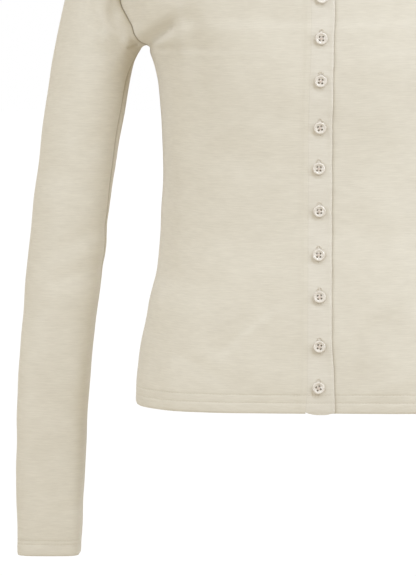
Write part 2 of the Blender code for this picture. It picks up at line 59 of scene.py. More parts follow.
# %% Camera
CAMERA_PLACE = (0.0107, -3.0, -0.1815)
CAMERA_DOWN = 0.0915
CAMERA_TURN = 0.0393
SENSOR = 36
FRAME_HEIGHT = 576            # pixels
CAMERA_LENS = 3179.3 * SENSOR / FRAME_HEIGHT


def add_object(name, data):
    """A new object of the scene, at the origin."""
    made = bpy.data.objects.new(name, data)
    bpy.context.collection.objects.link(made)
    return made


camera_data = bpy.data.cameras.new("camera")
camera_data.lens = CAMERA_LENS
camera_data.sensor_width = SENSOR
camera_data.sensor_fit = "AUTO"
camera = add_object("camera", camera_data)
camera.location = CAMERA_PLACE
camera.rotation_euler = (math.pi / 2 - CAMERA_DOWN, 0, CAMERA_TURN)
bpy.context.scene.camera = camera
bpy.context.scene.view_settings.view_transform = "Standard"
print("lens", round(CAMERA_LENS, 1), "mm")

# %% [markdown]
# Node trees are written as Python sums. `Shade` wraps one socket and adds a Math
# node for each operator. `Finish` makes any other node from its type, its
# settings and the values or links of its sockets.


# %% Shader sums
class Shade:
    """A socket that can be added, taken away and multiplied like a number."""

    def __init__(self, finish, socket):
        self.finish, self.socket = finish, socket

    def math(self, operation, *inputs):
        """A Math node on these sockets and numbers."""
        sockets = dict(enumerate(inputs))
        return self.finish.node("ShaderNodeMath", {"operation": operation}, sockets)

    def __add__(self, other):
        return self.math("ADD", self, other)

    def __radd__(self, other):
        return self.math("ADD", other, self)

    def __sub__(self, other):
        return self.math("SUBTRACT", self, other)

    def __rsub__(self, other):
        return self.math("SUBTRACT", other, self)

    def __mul__(self, other):
        return self.math("MULTIPLY", self, other)

    def __rmul__(self, other):
        return self.math("MULTIPLY", other, self)

    def sine(self):
        return self.math("SINE", self)


class Finish:
    """A node tree: of a material, or of the world."""

    def __init__(self, tree):
        self.tree = tree
        tree.nodes.clear()

    def node(self, kind, settings=None, sockets=None, output=0):
        """One output of a new node, once its settings and its sockets are filled in."""
        made = self.tree.nodes.new(kind)
        for name, value in (settings or {}).items():
            setattr(made, name, value)
        for name, value in (sockets or {}).items():
            if isinstance(value, Shade):
                self.tree.links.new(value.socket, made.inputs[name])
            else:
                made.inputs[name].default_value = value
        return Shade(self, made.outputs[output]) if made.outputs else made

    def mix(self, factor, first, second):
        """A colour between two, and never past either."""
        return self.node("ShaderNodeMix", {"data_type": "RGBA", "clamp_factor": True},
                         {"Factor": factor, 6: first, 7: second}, output=2)


def new_material(name):
    """A material, and the empty node tree that finishes it."""
    made = bpy.data.materials.new(name)
    made.use_nodes = True
    return made, Finish(made.node_tree)


# %% [markdown]
# The room is a white studio. The world looks white to the camera but lights the
# cloth at less than half that, and more warmly, as a room with wooden floors
# would. A small key light stands high on the right and draws the thin shadows of
# the buttons. Soft boxes on the left, high and low, light the sleeve and the side.
# Two more on the right keep the fronts even, and a large one behind stands for the
# bright backdrop, whose light wraps round the edges of the cloth. The lamps are a
# little blue, so that with the warm room the cloth keeps its own colour. The floor
# glows as white as the backdrop, so that no line shows where they meet.

# %% World, floor and lights
FLOOR_HEIGHT = -1.38
FLOOR_SIZE = 60.0
BACKDROP = (1.0, 1.0, 1.0, 1.0)
ROOM_LIGHT = (0.51, 0.445, 0.31, 1.0)
FLOOR_GLOW = 1.05
FLOOR_MATT_SHARE = 0.03
LAMP_COLOUR = (1.0, 1.13, 1.33)
LAMPS_FACE = Vector((0.0, 0.0, -0.35))

world = bpy.data.worlds.new("white room")
bpy.context.scene.world = world
world.use_nodes = True
room = Finish(world.node_tree)
seen = room.node("ShaderNodeLightPath", output="Is Camera Ray")
backdrop = room.node("ShaderNodeBackground", {},
                     {"Color": room.mix(seen, ROOM_LIGHT, BACKDROP)})
room.node("ShaderNodeOutputWorld", {}, {"Surface": backdrop})


def mesh_of(name, bm):
    """A mesh of what was modelled in this bmesh, which is freed."""
    mesh = bpy.data.meshes.new(name)
    bm.to_mesh(mesh)
    bm.free()
    return mesh


bm = bmesh.new()
bmesh.ops.create_grid(bm, x_segments=1, y_segments=1, size=FLOOR_SIZE / 2)
bmesh.ops.translate(bm, verts=bm.verts, vec=(0, 0, FLOOR_HEIGHT))
floor = add_object("floor", mesh_of("floor", bm))
floor.visible_diffuse = False

pale, paint = new_material("pale floor")
glow = paint.node("ShaderNodeEmission", {}, {"Color": BACKDROP, "Strength": FLOOR_GLOW})
matt = paint.node("ShaderNodeBsdfDiffuse", {}, {"Color": (0.9, 0.9, 0.9, 1.0)})
mixed = paint.node("ShaderNodeMixShader", {}, {0: FLOOR_MATT_SHARE, 1: glow, 2: matt})
paint.node("ShaderNodeOutputMaterial", {}, {"Surface": mixed})
floor.data.materials.append(pale)


def add_light(name, place, size, radiance):
    """A square soft box of this brightness that faces the middle of the cardigan."""
    data = bpy.data.lights.new(name, "AREA")
    data.shape, data.size, data.color = "SQUARE", size, LAMP_COLOUR
    data.energy = radiance * math.pi * size ** 2
    lamp = add_object(name, data)
    lamp.location = place
    aim = LAMPS_FACE - Vector(place)
    lamp.rotation_euler = aim.to_track_quat("-Z", "Y").to_euler()
    lamp.visible_camera = False


add_light("left", (-2.7, -0.9, 0.2), 1.6, 0.6)
add_light("low_left", (-1.8, -2.0, -1.1), 1.6, 2.5)
add_light("high_left", (-1.8, -1.4, 2.0), 1.6, 2.45)
add_light("high_right", (0.8, -1.6, 2.2), 0.45, 26.9)
add_light("right", (2.7, -0.9, 0.2), 1.6, 2.6)
add_light("near_right", (0.8, -0.8, 0.3), 0.6, 3.3)
add_light("backdrop_glow", (0.0, 2.4, 0.0), 4.0, 0.8)
print(len(bpy.data.lights), "lamps")

# %% [markdown]
# ## The form that the cloth lies on
#
# The body of the cardigan is a stack of rounded sections, wide at the hem and
# narrow at the waist. A place on it is named by its bearing, 0 at the centre
# front and 90 at the wearer's left side, and by its height. All sizes are in
# millimetres and are turned to metres when a mesh is made.

# %% Tables of the form
HEM_HEIGHT = -562.4
HEM_TURN_UP = 19.0
CUFF_TURN_UP = 16.0
ARMPIT_HEIGHT = -226.6
ARMPIT_ROW_DIP = 30.0
SIDE_SEAM_BEARING = 75.0
NECK_HALF_WIDTH = 75.0
FRONT_NECK_DROP = 95.0
BACK_NECK_DROP = 18.0
NECK_SQUARENESS = 2.3
NECKBAND_WIDTH = 11.0
SHOULDER_TIP = 188.0
SHOULDER_SLOPE = math.radians(21.7)
SHOULDER_ROUNDING_FROM = -190.0
SHOULDER_ROUNDNESS = 2.2
SIDE_SHARPNESS = 8


def table(columns, rows):
    """A table whose columns are read by name."""
    return dict(zip(columns.split(), np.array(rows, float).T))


BODY = table("height half_width breadth front back squareness", [
    (-575, 175.2, 175.2, 109, 101, 3.6),   # just under the hem
    (-545, 174.4, 174.4, 109, 101, 3.5),
    (-511, 170.8, 170.8, 108, 100, 3.2),
    (-473, 163.4, 163.4, 106, 97, 3.0),
    (-435, 155.6, 155.6, 103, 94, 2.8),
    (-390, 151.6, 151.6, 100, 92, 2.7),    # waist
    (-340, 150.0, 150.3, 100, 92, 2.6),
    (-302, 151.0, 152.5, 102, 94, 2.6),
    (-264, 154.4, 158.5, 105, 97, 2.5),
    (-241, 158.9, 164.3, 106, 98, 2.45),
    (-235, 160.6, 166.2, 106, 98, 2.45),
    (-230, 162.2, 168.3, 106, 98, 2.4),
    (-226.6, 168.0, 170.0, 106, 98, 2.4),  # armpit
    (-224, 175.5, 171.2, 106, 98, 2.4),
    (-220, 183.0, 173.5, 106, 98, 2.4),
    (-213, 190.0, 178.0, 106, 98, 2.4),
    (-202, 195.0, 185.0, 105, 98, 2.4),
    (-186, 198.0, 192.0, 105, 98, 2.4),
    (-140, 203.0, 202.0, 101, 98, 2.4),
    (-90, 206.0, 206.0, 92, 96, 2.4),
    (-45, 208.0, 208.0, 86, 94, 2.5),
    (40, 210.0, 210.0, 80, 92, 2.5),
])
ARMHOLE_FRONT = table("across height", [
    (188.5, -90),
    (190.5, -140),
    (190.0, -185.5),
    (183.8, -202),
    (177.0, -213.8),
    (173.2, -218.9),
    (170.2, -223.2),
])
ARMHOLE_BACK = table("across height", [
    (186.0, -95),
    (186.5, -145),
    (184.0, -186),
    (178.0, -205),
    (173.0, -217),
    (169.5, -224),
    (167.8, -226.3),
])
SLEEVE = table("height axis_out half_width axis_forward half_depth squareness seam_turn", [
    (-262, 219.2, 38.2, 1, 46.0, 2.0, 24),   # just under the armpit
    (-302, 225.7, 37.6, 1, 44.5, 2.0, 24),
    (-340, 231.3, 36.3, 1, 43.0, 2.1, 23),
    (-378, 236.4, 36.3, 2, 41.5, 2.3, 19),
    (-416, 240.5, 36.0, 3, 40.0, 2.3, 13),   # elbow
    (-454, 244.7, 35.6, 4, 38.0, 2.4, 9),
    (-492, 248.9, 34.5, 5, 36.0, 2.5, 4),
    (-530, 252.2, 33.8, 7, 33.5, 3.1, 0),
    (-568, 254.6, 33.2, 8, 31.0, 3.8, 0),
    (-606, 255.9, 32.5, 9, 28.5, 4.2, 0),
    (-644, 257.0, 31.7, 10, 26.0, 4.4, 0),
    (-682, 257.8, 30.6, 10, 23.5, 4.4, 0),
    (-710, 258.3, 29.6, 10, 21.5, 4.4, 0),   # cuff edge
])
BAND = table("height seam edge", [
    (-575, -14.0, 13.3),
    (-556, -13.5, 13.2),
    (-540, -12.1, 12.8),
    (-525, -11.9, 12.2),
    (-505, -11.9, 10.9),
    (-480, -11.9, 10.2),
    (-300, -11.8, 10.0),
    (-277, -11.3, 10.5),
    (-240, -10.0, 11.0),
    (-211, -9.3, 11.6),
    (-182, -9.3, 12.2),
    (-60, -9.3, 12.2),
])
print("sections of the body", len(BODY["height"]), "and of a sleeve", len(SLEEVE["height"]))


# %% Curves through the tables
def cubic(t, start, leaving, end, arriving):
    """A cubic from start to end, as t goes from 0 to 1, with these rates at its ends."""
    return (
        start * (1 + 2 * t) * (1 - t) ** 2
        + leaving * t * (1 - t) ** 2
        + end * t * t * (3 - 2 * t)
        + arriving * t * t * (t - 1)
    )


def smooth(at, knots, values):
    """A curve through the knots that never overshoots them."""
    order = np.argsort(knots)
    knots, values = np.asarray(knots)[order], np.asarray(values)[order]
    width = np.diff(knots)
    rise = np.diff(values) / width
    slope = np.empty_like(values)
    slope[0], slope[-1] = rise[0], rise[-1]
    before, after = rise[:-1], rise[1:]
    same_way = before * after > 0
    total = np.where(same_way, before + after, 1.0)
    slope[1:-1] = np.where(same_way, 2 * before * after / total, 0.0)
    at = np.clip(at, knots[0], knots[-1])
    k = np.clip(np.searchsorted(knots, at) - 1, 0, len(knots) - 2)
    t = (at - knots[k]) / width[k]
    return cubic(t, values[k], slope[k] * width[k], values[k + 1], slope[k + 1] * width[k])


def read(rows, column, at):
    """One column of a table, read smoothly at a height."""
    return smooth(at, rows["height"], rows[column])


def ease(x, start, end):
    """0 before the start, 1 after the end, and a soft step between."""
    t = np.clip((x - start) / (end - start), 0.0, 1.0)
    return t * t * (3 - 2 * t)


def bell(distance, width):
    """1 at no distance, falling softly to nothing over about twice the width."""
    return np.exp(-(distance / width) ** 2)


def unit(vectors):
    """The same directions, each of length 1."""
    return vectors / np.linalg.norm(vectors, axis=-1, keepdims=True)


def lengths(points):
    """Distance along a line of points, from its first."""
    steps = np.linalg.norm(np.diff(points, axis=0), axis=-1)
    return np.concatenate([np.zeros_like(steps[:1]), np.cumsum(steps, axis=0)])


print("waist half width", round(float(read(BODY, "breadth", -390)), 1), "mm")


# %% The form
SETTLING_ROUNDS = 40


def rounded(bearing, squareness):
    """Across and ahead, from -1 to 1, on a rounded square."""
    across, ahead = np.sin(np.radians(bearing)), np.cos(np.radians(bearing))
    reach = (np.abs(across) ** squareness + np.abs(ahead) ** squareness) ** (1 / squareness)
    return across / reach, ahead / reach


def turn_to(out, squareness, face=1):
    """The bearing at which a rounded square is this far out."""
    out = np.clip(out, 0.0, 1.0)
    return np.degrees(np.arctan2(out, face * (1 - out ** squareness) ** (1 / squareness)))


def half_width_at(out, height):
    """The half width that a point this far out, from 0 to 1, is scaled by."""
    breadth = read(BODY, "breadth", height)
    return breadth + (read(BODY, "half_width", height) - breadth) * out ** SIDE_SHARPNESS


def bearing_of(across, height, face=1):
    """The bearing at which the form is this far across; face is -1 on the back."""
    out = np.abs(across) / read(BODY, "breadth", height)
    for _ in range(SETTLING_ROUNDS):
        out = np.clip(np.abs(across) / half_width_at(out, height), 0.0, 1.0)
    bearing = turn_to(out, read(BODY, "squareness", height), face)
    return bearing * np.where(across < 0, -1, 1)


def shoulder_height(across):
    """Height of the shoulder line, carried on in a round arch over the neck."""
    out = np.abs(across)
    arch = (NECK_HALF_WIDTH + out ** 2 / NECK_HALF_WIDTH) / 2
    out = np.where(out < NECK_HALF_WIDTH, arch, out)
    return (NECK_HALF_WIDTH - out) * math.tan(SHOULDER_SLOPE)


print("shoulder tips", round(shoulder_height(SHOULDER_TIP), 1), "mm up")


# %% [markdown]
# Thin jersey falls in soft folds: drags from the armpits, long falls beside the
# bust and the sides, and small puckers where the buttons pull on the band. Each
# is a soft ridge or trough between two places.

# %% Folds
FOLD_END = 1.5                # how far a fold runs out past its end, in half widths
FOLDS = table("face across_from height_from across_to height_to ridge half_width", [
    (1, -157, -221, -131, -203, -1.7, 9),
    (1, 156, -220, 132, -204, -1.7, 9),
    (1, -118, -215, -110, -290, -1.6, 14),
    (1, 116, -215, 109, -285, -1.6, 14),
    (1, -146, -250, -142, -440, -1.8, 11),
    (1, 145, -250, 142, -430, -1.8, 11),
    (1, -152, -500, -158, -575, -2.0, 13),
    (1, 150, -500, 156, -575, -2.0, 13),
    (1, -90, -500, -44, -455, -1.2, 9),
    (1, 62, -500, 92, -455, -1.0, 10),
    (-1, -160, -222, -120, -196, -2.6, 11),
    (-1, 160, -222, 120, -198, -2.6, 11),
    (-1, -60, -330, 58, -336, -1.6, 13),
    (-1, -84, -372, 90, -380, -1.4, 14),
    (-1, -104, -470, -112, -575, -1.8, 16),
    (-1, 100, -474, 110, -575, -1.8, 16),
])

# Sharper and smaller than the folds: drags, slack and the press marks of wear.
CREASES = table("face across_from height_from across_to height_to ridge half_width", [
    (1, -161, -222, -143, -210, -4.8, 4.6),  # the drag's own deep line
    (1, -188, -165, -180, -204, -4.5, 8),    # the cloth sinks to the armhole seam
    (1, -131, -194, -130, -228, 1.3, 5),     # the cloth stands up beside it
    (1, -158, -232, -140, -222, 0.9, 6),
    (1, -165, -190, -172, -204, -0.8, 5),
    (1, -119, -205, -112, -262, -0.9, 8),
    (1, -92, -507, -45, -465, -0.7, 4),      # slack above the hem
    (1, -70, -492, -38, -470, 0.5, 4),
    (1, -128, -512, -96, -528, -0.6, 6),
    (1, 60, -540, 92, -524, 0.8, 8),
    (1, 34, -500, 60, -478, -0.5, 7),
    (1, 163, -224, 143, -210, -3.8, 4.8),
    (1, 188, -165, 180, -204, -4.5, 8),
    (1, 131, -196, 130, -228, 1.1, 5),
    (1, 120, -206, 113, -262, -0.8, 8),
    (1, 128, -512, 100, -530, -0.6, 6),
    (-1, -160, -221, -130, -200, -2.6, 6),
    (-1, 160, -221, 132, -202, -2.4, 6),
    (-1, -120, -345, -62, -322, -0.9, 7),
    (-1, 46, -352, 118, -340, -0.8, 7),
    (-1, -30, -386, 40, -392, -0.7, 6),
    (-1, -36, -120, -60, -160, -0.6, 12),
    (-1, 40, -125, 66, -170, -0.6, 12),
])

# Broad unevenness of cloth that nothing stretches: across and up in waves a metre.
WAVES = table("across up phase height", [
    (9, 14, 0.3, 0.16),
    (15, -11, 1.9, 0.14),
    (5, 23, 4.1, 0.12),
    (24, 9, 2.6, 0.08),
    (-19, 27, 5.2, 0.07),
])


def unevenness(across, height):
    """A broad, shallow swell of the cloth."""
    swell = np.zeros_like(across)
    for waves_across, waves_up, phase, lift in zip(*WAVES.values()):
        turn = 2 * math.pi * MM * (waves_across * across + waves_up * height)
        swell += lift * np.sin(turn + phase)
    return swell


def along_fold(across, height, x0, z0, x1, z1, half_width):
    """1 along the line of a fold, falling softly beside it and past its ends."""
    length = math.hypot(x1 - x0, z1 - z0)
    ux, uz = (x1 - x0) / length, (z1 - z0) / length
    along = (across - x0) * ux + (height - z0) * uz
    beside = (across - x0) * -uz + (height - z0) * ux
    past = np.maximum(0.0, np.abs(along - length / 2) - length / 2)
    return bell(beside, half_width) * bell(past, FOLD_END * half_width)


def fold_relief(across, height, face):
    """How far the folds lift the cloth off the form."""
    relief = unevenness(across, height)
    for rows in (FOLDS, CREASES):
        for fold_face, *line, ridge, half_width in zip(*rows.values()):
            shape = along_fold(across, height, *line, half_width)
            relief += np.where(face == fold_face, ridge * shape, 0.0)
    return relief


def form(bearing, height, inset):
    """Points of the form at this bearing and height, moved in by the inset."""
    bearing, height, inset = np.broadcast_arrays(bearing, height, inset)
    bearing, height = bearing.astype(float), height.astype(float)
    across, ahead = rounded(bearing, read(BODY, "squareness", height))
    half_width = half_width_at(np.abs(across), height)
    x = half_width * across
    face = np.where(ahead >= 0, 1, -1)
    inset = inset - fold_relief(x, height, face)
    depth = np.where(ahead >= 0, read(BODY, "front", height), read(BODY, "back", height))
    rise = (height - SHOULDER_ROUNDING_FROM) / (shoulder_height(x) - SHOULDER_ROUNDING_FROM)
    rise = np.clip(rise, 0.0, 1.0)
    closing = (1 - rise ** SHOULDER_ROUNDNESS) ** (1 / SHOULDER_ROUNDNESS)
    return np.stack([
        (half_width - inset) * across,
        -(depth - inset) * ahead * closing,
        height - inset * rise,
    ], axis=-1)


waist_ring = form(np.linspace(0, 360, 361), -390.0, 0.0)
print(len(FOLDS["face"]), "folds,", len(CREASES["face"]), "creases, and a waist",
      round(lengths(waist_ring)[-1]), "mm round")


# %% Seam lines
SEAM_STEPS = 400
ARM_ROWS = 84
ARM_ROW_CROWDING = 0.05
NECK_COLUMNS = 36
SHOULDER_COLUMNS = 36
TOP_ROW_SWING = 6


def neckline(face, start):
    """Distance from the centre and height along the neck seam, in even steps."""
    turn = np.linspace(turn_to(start / NECK_HALF_WIDTH, NECK_SQUARENESS), 90, SEAM_STEPS)
    across, ahead = rounded(turn, NECK_SQUARENESS)
    drop = FRONT_NECK_DROP if face > 0 else BACK_NECK_DROP
    across, height = NECK_HALF_WIDTH * across, -drop * ahead
    true = lengths(form(bearing_of(across, height, face), height, 0.0))
    at = np.linspace(0, true[-1], NECK_COLUMNS + 1)
    return np.interp(at, true, across), np.interp(at, true, height)


def armhole(face, part):
    """Bearing and height at these parts, 0 to 1, of the armhole seam from armpit to tip."""
    seam = ARMHOLE_FRONT if face > 0 else ARMHOLE_BACK
    across = np.append(seam["across"][::-1], SHOULDER_TIP)
    height = np.append(seam["height"][::-1], shoulder_height(SHOULDER_TIP))
    bearing = np.append(SIDE_SEAM_BEARING, bearing_of(across, height, face))
    height = np.append(ARMPIT_HEIGHT, height)
    rough = lengths(form(bearing, height, 0.0))
    fine = np.linspace(0, rough[-1], SEAM_STEPS)
    bearing, height = smooth(fine, rough, bearing), smooth(fine, rough, height)
    true = lengths(form(bearing, height, 0.0))
    at = (part - ARM_ROW_CROWDING * np.sin(2 * math.pi * part)) * true[-1]
    return np.interp(at, true, bearing), np.interp(at, true, height)


for face, name in ((1, "front"), (-1, "back")):
    across, height = neckline(face, 0.0)
    seam = form(bearing_of(across, height, face), height, 0.0)
    print(name, "neck seam", round(2 * lengths(seam)[-1]), "mm")

# %% [markdown]
# ## Laying out a panel
#
# A front or half a back is a grid of places on the form. Below the armpit its
# rows are level and run from the centre to the side seam. Above it the grid is
# a patch between the armpit row, the centre, the armhole and the top edge. Rows
# gather at the hem and the seams, where the cloth changes shape most.

# %% Panels
LOW_ROWS = 104
LOW_ROW_CROWDING = 1.25
SIDE_CROWDING = 1.3
HEM_ROWS = (0, 0.4, 1.1, 2.4, 4.6, 7.0, 8.6, 9.2, 9.7, 10.2, 10.8, 12.6, 14.8, 16.0,
            16.6, 17.1, 17.6, 18.4, 19.0, 19.6, 21.0)
PANEL_START = 2.0             # the first row of the panel above those of the hem
# Where finer rows and columns are let in from an edge, in steps of the grid.
EDGE_FINE = {
    "centre": (0.05, 0.1, 0.17, 0.25, 0.33, 0.42, 0.5, 0.6, 0.7, 0.8, 0.9, 1, 1.12, 1.25,
               1.5, 1.75, 2, 2.5, 3),
    "seam": (0.15, 0.35, 0.6, 0.8, 1, 1.33, 1.66, 2, 2.5, 3),
}


def half_panel(face, centre_line):
    """Bearings and heights of half a panel, for the wearer's left."""
    s = 1 - np.linspace(1, 0, NECK_COLUMNS + SHOULDER_COLUMNS + 1) ** SIDE_CROWDING

    def centre_bearing(height):
        """The bearing of the panel's centre edge."""
        return bearing_of(centre_line(height), height, face)

    armpit_row = ARMPIT_HEIGHT - ARMPIT_ROW_DIP * (1 - s ** 3)
    low = [np.full_like(s, HEM_HEIGHT + up) for up in HEM_ROWS]
    start_row = low[-1][0] + PANEL_START
    for t in 1 - np.linspace(1, 0, LOW_ROWS + 1) ** LOW_ROW_CROWDING:
        low.append(start_row + (armpit_row - start_row) * t)
    heights = np.array(low)
    start = centre_bearing(heights)
    bearings = start + (SIDE_SEAM_BEARING - start) * s

    t = np.linspace(0, 1, ARM_ROWS + 1)
    arm_bearing, arm_height = armhole(face, t)
    t = (t + (arm_height - arm_height[0]) / (arm_height[-1] - arm_height[0])) / 2
    neck = neckline(face, centre_line(-FRONT_NECK_DROP))
    beyond = (s[NECK_COLUMNS + 1:] - s[NECK_COLUMNS]) / (1 - s[NECK_COLUMNS])
    shoulder = NECK_HALF_WIDTH + (SHOULDER_TIP - NECK_HALF_WIDTH) * beyond
    top_across = np.append(neck[0], shoulder)
    top_height = np.append(neck[1], shoulder_height(shoulder))
    top_bearing = bearing_of(top_across, top_height, face)
    centre_height = armpit_row[0] + (top_height[0] - armpit_row[0]) * t

    def patch(bottom, top, inner, outer, up):
        """Values between four edges, each of which they meet."""
        inner, outer, up = inner[:, None], outer[:, None], up[:, None]
        bottom = bottom - (1 - s) * bottom[0] - s * bottom[-1]
        top = top - (1 - s) * top[0] - s * top[-1]
        return (1 - s) * inner + s * outer + (1 - up) * bottom + up * top

    late = t ** TOP_ROW_SWING
    high_heights = patch(armpit_row, top_height, centre_height, arm_height, t)
    high_bearings = patch(bearings[-1], top_bearing, centre_bearing(centre_height),
                          arm_bearing, late)
    return np.vstack([bearings, high_bearings[1:]]), np.vstack([heights, high_heights[1:]])


def refined(grid, **edges):
    """The grid with finer rows and columns let in along its named edges."""
    for axis, near, far in ((0, "bottom", "top"), (1, "left", "right")):
        last = grid.shape[axis] - 1
        at = set(range(last + 1))
        if near in edges:
            at |= set(EDGE_FINE[edges[near]])
        if far in edges:
            at |= {last - step for step in EDGE_FINE[edges[far]]}
        at = np.array(sorted(at), float)
        low = np.minimum(at.astype(int), last - 1)
        part = at - low
        part = part[:, None] if axis == 0 else part[None, :]
        grid = np.take(grid, low, axis) * (1 - part) + np.take(grid, low + 1, axis) * part
    return grid


print("rows of a panel", len(HEM_ROWS) + LOW_ROWS + ARM_ROWS + 1)


# %% [markdown]
# ## From a grid of places to cloth
#
# A piece starts as a flat grid from `create_grid`. Each vertex goes to its place
# on the form, and the faces are extruded inwards by the cloth's own thickness, so
# that every edge is a real edge. The hem and the cuffs are turned up, which makes
# them two layers thick. The UV map "cut" holds each point's place on the flat
# cloth, in metres, so that the knit follows the piece.

# %% Cloth
CLOTH = 1.0
BAND_CLOTH = 1.6
SHARP_FROM = math.radians(50)
CUT_STEPS = 25                # places along the cloth by which its length is measured


def add_piece(name, bm, finish, node):
    """A finished piece that stands for a node of the frame and rides with it."""
    mesh = mesh_of(name, bm)
    mesh.shade_smooth()
    mesh.set_sharp_from_angle(angle=SHARP_FROM)
    mesh.materials.append(finish)
    piece = add_object(name, mesh)
    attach(piece, "root")
    if node:
        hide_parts(node)
    print(name, len(mesh.polygons), "faces")
    return piece


def cloth_shell(points, cut, thick, painted_shade=0.0, flip=False):
    """A closed shell of cloth whose outer face is this grid of points."""
    rows, columns = points.shape[:2]
    bm = bmesh.new()
    place = bm.verts.layers.int.new("place")
    # Painted shade: how much shade is painted into each point's colour.
    painted_shade_map = bm.verts.layers.float.new("painted_shade")
    cut_map = bm.loops.layers.uv.new("cut")
    bmesh.ops.create_grid(bm, x_segments=columns - 1, y_segments=rows - 1, size=1.0)
    bm.verts.ensure_lookup_table()
    flat_points = points.reshape(-1, 3) * MM
    flat_painted_shade = np.broadcast_to(painted_shade, points.shape[:2]).reshape(-1)
    for k, vertex in enumerate(bm.verts):
        vertex.co = flat_points[k]
        vertex[place] = k
        vertex[painted_shade_map] = flat_painted_shade[k]
    flat_cut = cut.reshape(-1, 2) * MM
    for face in bm.faces:
        for loop in face.loops:
            loop[cut_map].uv = flat_cut[loop.vert[place]]
    bmesh.ops.remove_doubles(bm, verts=bm.verts[:], dist=1e-6)
    if flip:
        bmesh.ops.reverse_faces(bm, faces=bm.faces[:])
    bm.normal_update()
    thick = np.broadcast_to(thick, points.shape[:2]).reshape(-1) * MM
    inner = {v[place]: v.co - v.normal * float(thick[v[place]]) for v in bm.verts}
    moved = bmesh.ops.extrude_face_region(bm, geom=bm.faces[:], use_keep_orig=True)
    for vertex in moved["geom"]:
        if isinstance(vertex, bmesh.types.BMVert):
            vertex.co = inner[vertex[place]]
    # The operator expects to extrude outwards, and turns the first faces over.
    bmesh.ops.reverse_faces(bm, faces=bm.faces[:])
    return bm


def add_cloth(node, finish, points, cut, thick, painted_shade=0.0, flip=False):
    """The cloth of one cut piece, which stands for the solid of this name."""
    bm = cloth_shell(points, cut, thick, painted_shade, flip)
    return add_piece(f"{node}_cloth", bm, finish, node)


def cut_place(bearing, height):
    """Where a point of the form lies on the flat cloth: round it, and up it."""
    steps = np.linspace(0, 1, CUT_STEPS)[:, None, None]
    level = form(bearing * steps, height + 0 * steps, 0.0)
    base = ARMPIT_HEIGHT + 0 * height
    rising = form(bearing + 0 * steps, base + (height - base) * steps, 0.0)
    around = lengths(level)[-1] * np.sign(bearing)
    up = base + lengths(rising)[-1] * np.sign(height - base)
    return np.stack([around, up], axis=-1)


def edge_distances(points):
    """Distance of each grid point from the bottom, top, left and right edges."""
    up, along = lengths(points), lengths(points.swapaxes(0, 1)).swapaxes(0, 1)
    return up, up[-1:] - up, along, along[:, -1:] - along


# %% [markdown]
# ## Seams and hems in the cloth
#
# A sewn seam is a fine line where both pieces dip in, with a slight ridge on
# either side where the allowance lies behind. Shade is painted into the bottom
# of the line as a darker colour, and each piece keeps that painted shade as an
# attribute. A twin needle leaves two parallel rows in the turned-up hem, and the
# cloth is drawn in along each. A folded edge turns over in a small round.

# %% Seam and hem profiles
TWIN_ROWS = (9.7, 17.1)
CUFF_ROWS = (11.1, 14.9)


HEM_TOP = 22.0                # nothing of a hem shows above this height from its edge
HEM_PUFF = 0.18               # how far it stands out between its edge and its first row
HEM_PUFF_WIDTH = 1 / 2.6      # in heights of that row
HEM_ROW_WIDTH = 0.6
HEM_EDGE = (0.45, 0.7)        # of each line: how deep, and how wide
SEAM_RIDGE = (0.2, 1.2)
SEAM_WIDTH = 0.4
FOLD_RADIUS = 0.8


def line_of(distance, strength, width):
    """A line this strong and this wide, at this distance from its middle."""
    return strength * bell(distance, width)


def seam_dip(distance, drop=0.3, ridge_at=2.0):
    """How far in the cloth dips at this distance from a seam."""
    return line_of(distance, drop, SEAM_WIDTH) - line_of(distance - ridge_at, *SEAM_RIDGE)


def hem_dip(up, rows, depth=0.22):
    """How far in the hem's cloth dips along its rows of stitches and at its fold."""
    dip = sum(line_of(up - row, depth, HEM_ROW_WIDTH) for row in rows)
    puff = line_of(up - rows[0] / 2, HEM_PUFF, rows[0] * HEM_PUFF_WIDTH)
    return (dip - puff + line_of(up, *HEM_EDGE)) * (up < HEM_TOP)


def fold_round(distance):
    """How far in the cloth turns as it rounds a folded edge."""
    left = np.clip(1 - distance / FOLD_RADIUS, 0, 1)
    return FOLD_RADIUS * (1 - np.sqrt(1 - left ** 2))


print("a seam dips", round(float(seam_dip(0.0)), 2), "mm in")


# %% [markdown]
# ## The finishes
#
# The jersey is knitted from a slightly uneven yarn, so thin light and dark
# streaks run across it, each a course high and a finger's width long. Noise
# stretched along the cut's own width gives them. Two sine waves make the wales
# and courses of the knit, which show only from close by, as bump. The stitching
# thread matches the cloth, and the buttons are cream resin with a faint cloud.

# %% Jersey
WALE = 0.55
COURSE = 0.42
# Painted shade: the dark brown that seams, the pit of the arm and the cloth beside the top band's
# edge are darkened towards.
PAINTED_SHADE_TINT = (0.30, 0.235, 0.155, 1.0)
PAINTED_SHADE_STRENGTH = 0.75
STREAKS = table("across up share", [
    (65, 900, 1.0),
    (170, 1400, 0.7),
    (60, 170, 0.7),
    (12, 13, 0.5),
])


